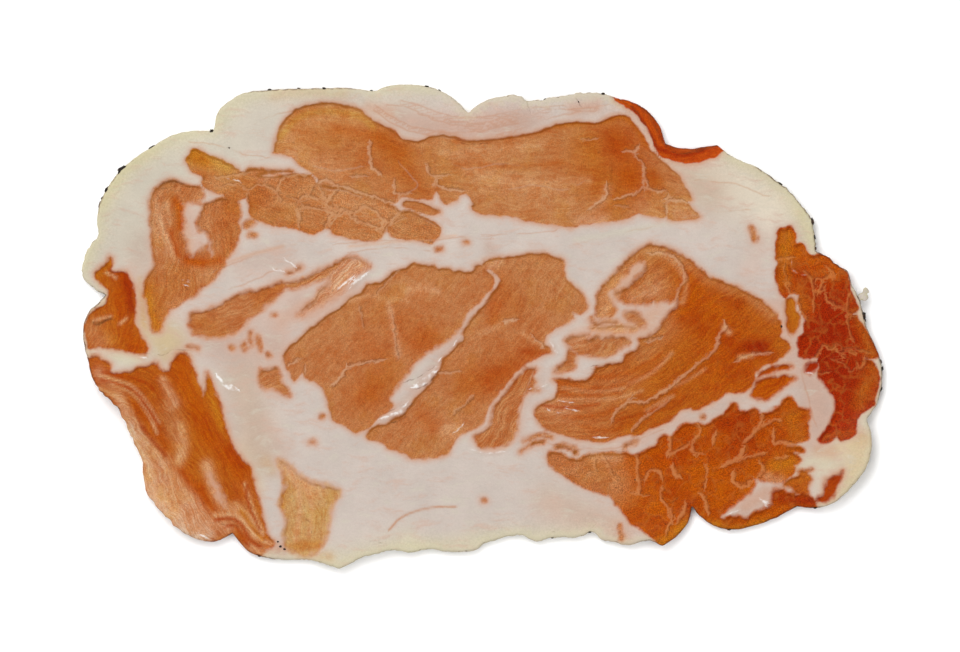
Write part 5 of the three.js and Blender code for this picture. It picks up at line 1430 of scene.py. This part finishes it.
# crumbs of pepper on the rim: radius and place
crumbs = [
    (0.52, -54.1, 23.6), (0.34, -54.3, 22.9), (0.4, -49.8, 27.0), (0.3, -56.1, 20.2), (0.26, -56.3, 20.8),
    (0.3, -57.0, 19.3), (0.32, -57.5, 18.5), (0.36, -40.5, 28.4), (0.24, -27.4, 35.5), (0.28, -31.8, 35.4),
    (0.24, -23.9, 35.5), (0.26, -16.6, 35.4), (0.3, -8.5, 36.0), (0.26, -6.5, 35.4), (0.24, 9.3, 34.2),
    (0.15, 14.4, 33.7), (0.26, 18.2, 34.7), (0.26, 44.4, 21.3), (0.44, 49.0, 15.6), (0.24, 49.4, 13.5),
    (0.22, 49.4, 11.7), (0.46, 57.1, 1.5), (0.34, 57.3, 0.9), (0.3, 59.8, -5.4), (0.34, 59.8, -6.4),
    (0.28, 59.7, -9.3), (0.26, 50.0, -26.8), (0.22, 37.0, -30.1), (0.2, 44.86, 0.0), (0.24, -33.3, -34.0),
    (0.2, -30.7, -32.3), (0.22, -30.3, -33.0), (0.2, -29.7, -33.4), (0.16, 22.9, -23.0), (0.18, 15.9, -29.8),
    (0.16, 10.6, -30.7), (0.14, -38.0, 26.8),
]
crumbForm = {
    "stretch": (0.7, 1.15),
    "alongRim": np.array((1.25, 0.6, 0.7)),
    "rimReach": 1.2,  # crumbs this near to the rim lie on it
    "anyTurn": 3.1,  # in radians, for crumbs that lie elsewhere
    "rimTurn": 0.3,
    "sink": 0.3,  # part of its radius that a crumb is sunk below its middle
    "dent": 0.25,
    "gloss": 0.62,
    "shine": 0.25,
    "reliefDepth": 0.00008,
    "seed": 5,
}


def topOfSlice(places):
    # height of the upper cut face at some places, in metres
    points = np.array([vert.co[:] for vert in meshOfSlice.vertices])
    points = points[points[:, 2] > 0.4 * sliceForm["thickness"] * mm]
    nearest = ((points[None, :, :2] - places[:, None] * mm) ** 2).sum(2).argmin(1)
    return points[nearest, 2]


def crumbMesh():
    # each crumb is a small round lump, dented and turned its own way
    form = crumbForm
    chance = np.random.default_rng(form["seed"])
    places = np.array([(x, y) for _, x, y in crumbs])
    away = [np.hypot(*(rimOfSlice - place).T) for place in places]
    bm = bmesh.new()
    for (radius, *_), place, reach, top in zip(crumbs, places, away, topOfSlice(places)):
        stretch = chance.uniform(*form["stretch"], 3) * radius * mm
        turn = Matrix.Rotation(chance.uniform(0, form["anyTurn"]), 4, "Z")
        if reach.min() < form["rimReach"]:
            # those on the rim lie along it
            nearest = reach.argmin()
            place = rimOfSlice[nearest]
            run = rimOfSlice[(nearest + 2) % len(rimOfSlice)] - rimOfSlice[nearest - 2]
            askew = chance.uniform(-form["rimTurn"], form["rimTurn"])
            turn = Matrix.Rotation(math.atan2(run[1], run[0]) + askew, 4, "Z")
            stretch *= form["alongRim"]
        spot = Matrix.Translation((place[0] * mm, place[1] * mm, top - form["sink"] * radius * mm))
        made = bmesh.ops.create_icosphere(bm, subdivisions=2, radius=1,
                                          matrix=spot @ turn @ Matrix.Diagonal((*stretch, 1)))
        for vert in made["verts"]:
            vert.co += (vert.co - spot.translation) * chance.uniform(-form["dent"], form["dent"])
    return finishedMesh(bm, "pepperCrumbs")


def crumbMaterial():
    material, start, place = newMaterial("crushedPepper")
    husk = place.noise(1.1, 3, 0.6).step(0.5, 0.68) * 0.8
    addSurface(start, {
        "Base Color": husk.between("soot", "bark"), "Roughness": crumbForm["gloss"],
        "Normal": bump(start, crumbForm["reliefDepth"], place.noise(5, 3)),
        "Specular IOR Level": crumbForm["shine"],
    })
    return material


# a torn shred of the casing that stands off the right side of the rim
shredForm = {
    "outline": [56.1, 4.2, 56.5, 4.9, 57, 5.1, 57.1, 5.6, 57.5, 5.9, 57.9, 5.5, 58, 5.1,
                57.7, 4.9, 57.9, 4.3, 57.4, 3.8, 56.8, 4, 56.4, 3.6],
    "thickness": 0.14,
    "crumple": ((0.7, 0.16, 31),),  # waves of noise: width, strength and seed
    "drop": 0.35,  # how far it hangs below the rim's upper edge
    "gloss": 0.4,
    "shine": 0.3,
}


def shredMesh():
    line = smoothCurve(shredForm["outline"], closed=True, cuts=2)
    bm = bmesh.new()
    ring = bmesh.ops.create_circle(bm, segments=len(line), radius=1, cap_ends=False)["verts"]
    top = topOfSlice(asPlaces(shredForm["outline"])[:1])[0]
    for vert, place in zip(ring, line):
        vert.co = (place[0] * mm, place[1] * mm, 0)
    bmesh.ops.triangle_fill(bm, use_beauty=True, edges=bm.edges[:], normal=(0, 0, 1))
    bmesh.ops.subdivide_edges(bm, edges=bm.edges[:], cuts=2, use_grid_fill=True)
    bmesh.ops.recalc_face_normals(bm, faces=bm.faces)
    places = np.array([vert.co.xy[:] for vert in bm.verts]) / mm
    for vert, rise in zip(bm.verts, noiseSum(places, shredForm["crumple"])):
        vert.co.z = top + (rise - shredForm["drop"]) * mm
    bmesh.ops.solidify(bm, geom=bm.faces[:], thickness=shredForm["thickness"] * mm)
    bmesh.ops.recalc_face_normals(bm, faces=bm.faces)
    mesh = finishedMesh(bm, "casingShred")
    mesh.shade_smooth()
    return mesh


def shredMaterial():
    material, start, place = newMaterial("driedCasing")
    film = place.noise(1.6, 3, 0.6).step(0.35, 0.65)
    addSurface(start, {
        "Base Color": film.between("cream", "pearl"), "Roughness": shredForm["gloss"],
        "Alpha": film * 0.15 + 0.75, "Specular IOR Level": shredForm["shine"],
    })
    return material


for name, mesh, material in (("pepperCrumbs", crumbMesh(), crumbMaterial()),
                             ("casingShred", shredMesh(), shredMaterial())):
    piece = addObject(name, mesh)
    mesh.materials.append(material)
    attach(piece, "root")
    print(name, "placed:", sum(len(face.vertices) - 2 for face in mesh.polygons), "triangles")


# floor, light and camera
studio = {
    "floorSize": 3.0,
    "floorHeight": -0.00002,  # a hair below the slice, so that the two faces don't fall together
    "floorTone": 0.98,
    "floorGloss": 0.9,
    "floorShine": 0.1,
    "sky": 0.42,
    "lampSize": 0.7,
    "lamps": {"keyLamp": (7.6, (-0.3, 0.5, 0.8)), "sideLamp": (2.4, (0.6, 0.1, 0.8)),
              "fillLamp": (4.0, (-0.5, -0.4, 0.76))},  # power and place
    "viewWidth": 0.144,  # metres that the photograph's 960 pixels span
    "viewMiddle": (-0.000375, 0.000075),
    "viewHeight": 0.5,
}


def stageFloor():
    bm = bmesh.new()
    bmesh.ops.create_grid(bm, x_segments=1, y_segments=1, size=studio["floorSize"] / 2)
    mesh = finishedMesh(bm, "paleFloor")
    mesh.transform(Matrix.Translation((0, 0, studio["floorHeight"])))
    floor = addObject("paleFloor", mesh)
    material = bpy.data.materials.new("palePaint")
    material.use_nodes = True
    sockets = material.node_tree.nodes["Principled BSDF"].inputs
    sockets["Base Color"].default_value = (*[studio["floorTone"]] * 3, 1)
    sockets["Roughness"].default_value = studio["floorGloss"]
    sockets["Specular IOR Level"].default_value = studio["floorShine"]
    mesh.materials.append(material)


def studioLight():
    world = bpy.data.worlds.new("studioSky")
    bpy.context.scene.world = world
    world.use_nodes = True
    background = world.node_tree.nodes["Background"]
    background.inputs["Color"].default_value = (1, 1, 1, 1)
    background.inputs["Strength"].default_value = studio["sky"]
    for name, (power, place) in studio["lamps"].items():
        lamp = bpy.data.lights.new(name, "AREA")
        lamp.size = studio["lampSize"]
        lamp.energy = power
        light = addObject(name, lamp)
        light.location = place
        light.rotation_euler = Vector(place).to_track_quat("Z", "Y").to_euler()


def topCamera():
    lens = bpy.data.cameras.new("topCamera")
    lens.type = "ORTHO"
    lens.ortho_scale = studio["viewWidth"]
    camera = addObject("topCamera", lens)
    camera.location = (*studio["viewMiddle"], studio["viewHeight"])
    bpy.context.scene.camera = camera


stageFloor()
studioLight()
topCamera()
bpy.context.scene.view_settings.view_transform = "Standard"
print("floor, light and camera placed")
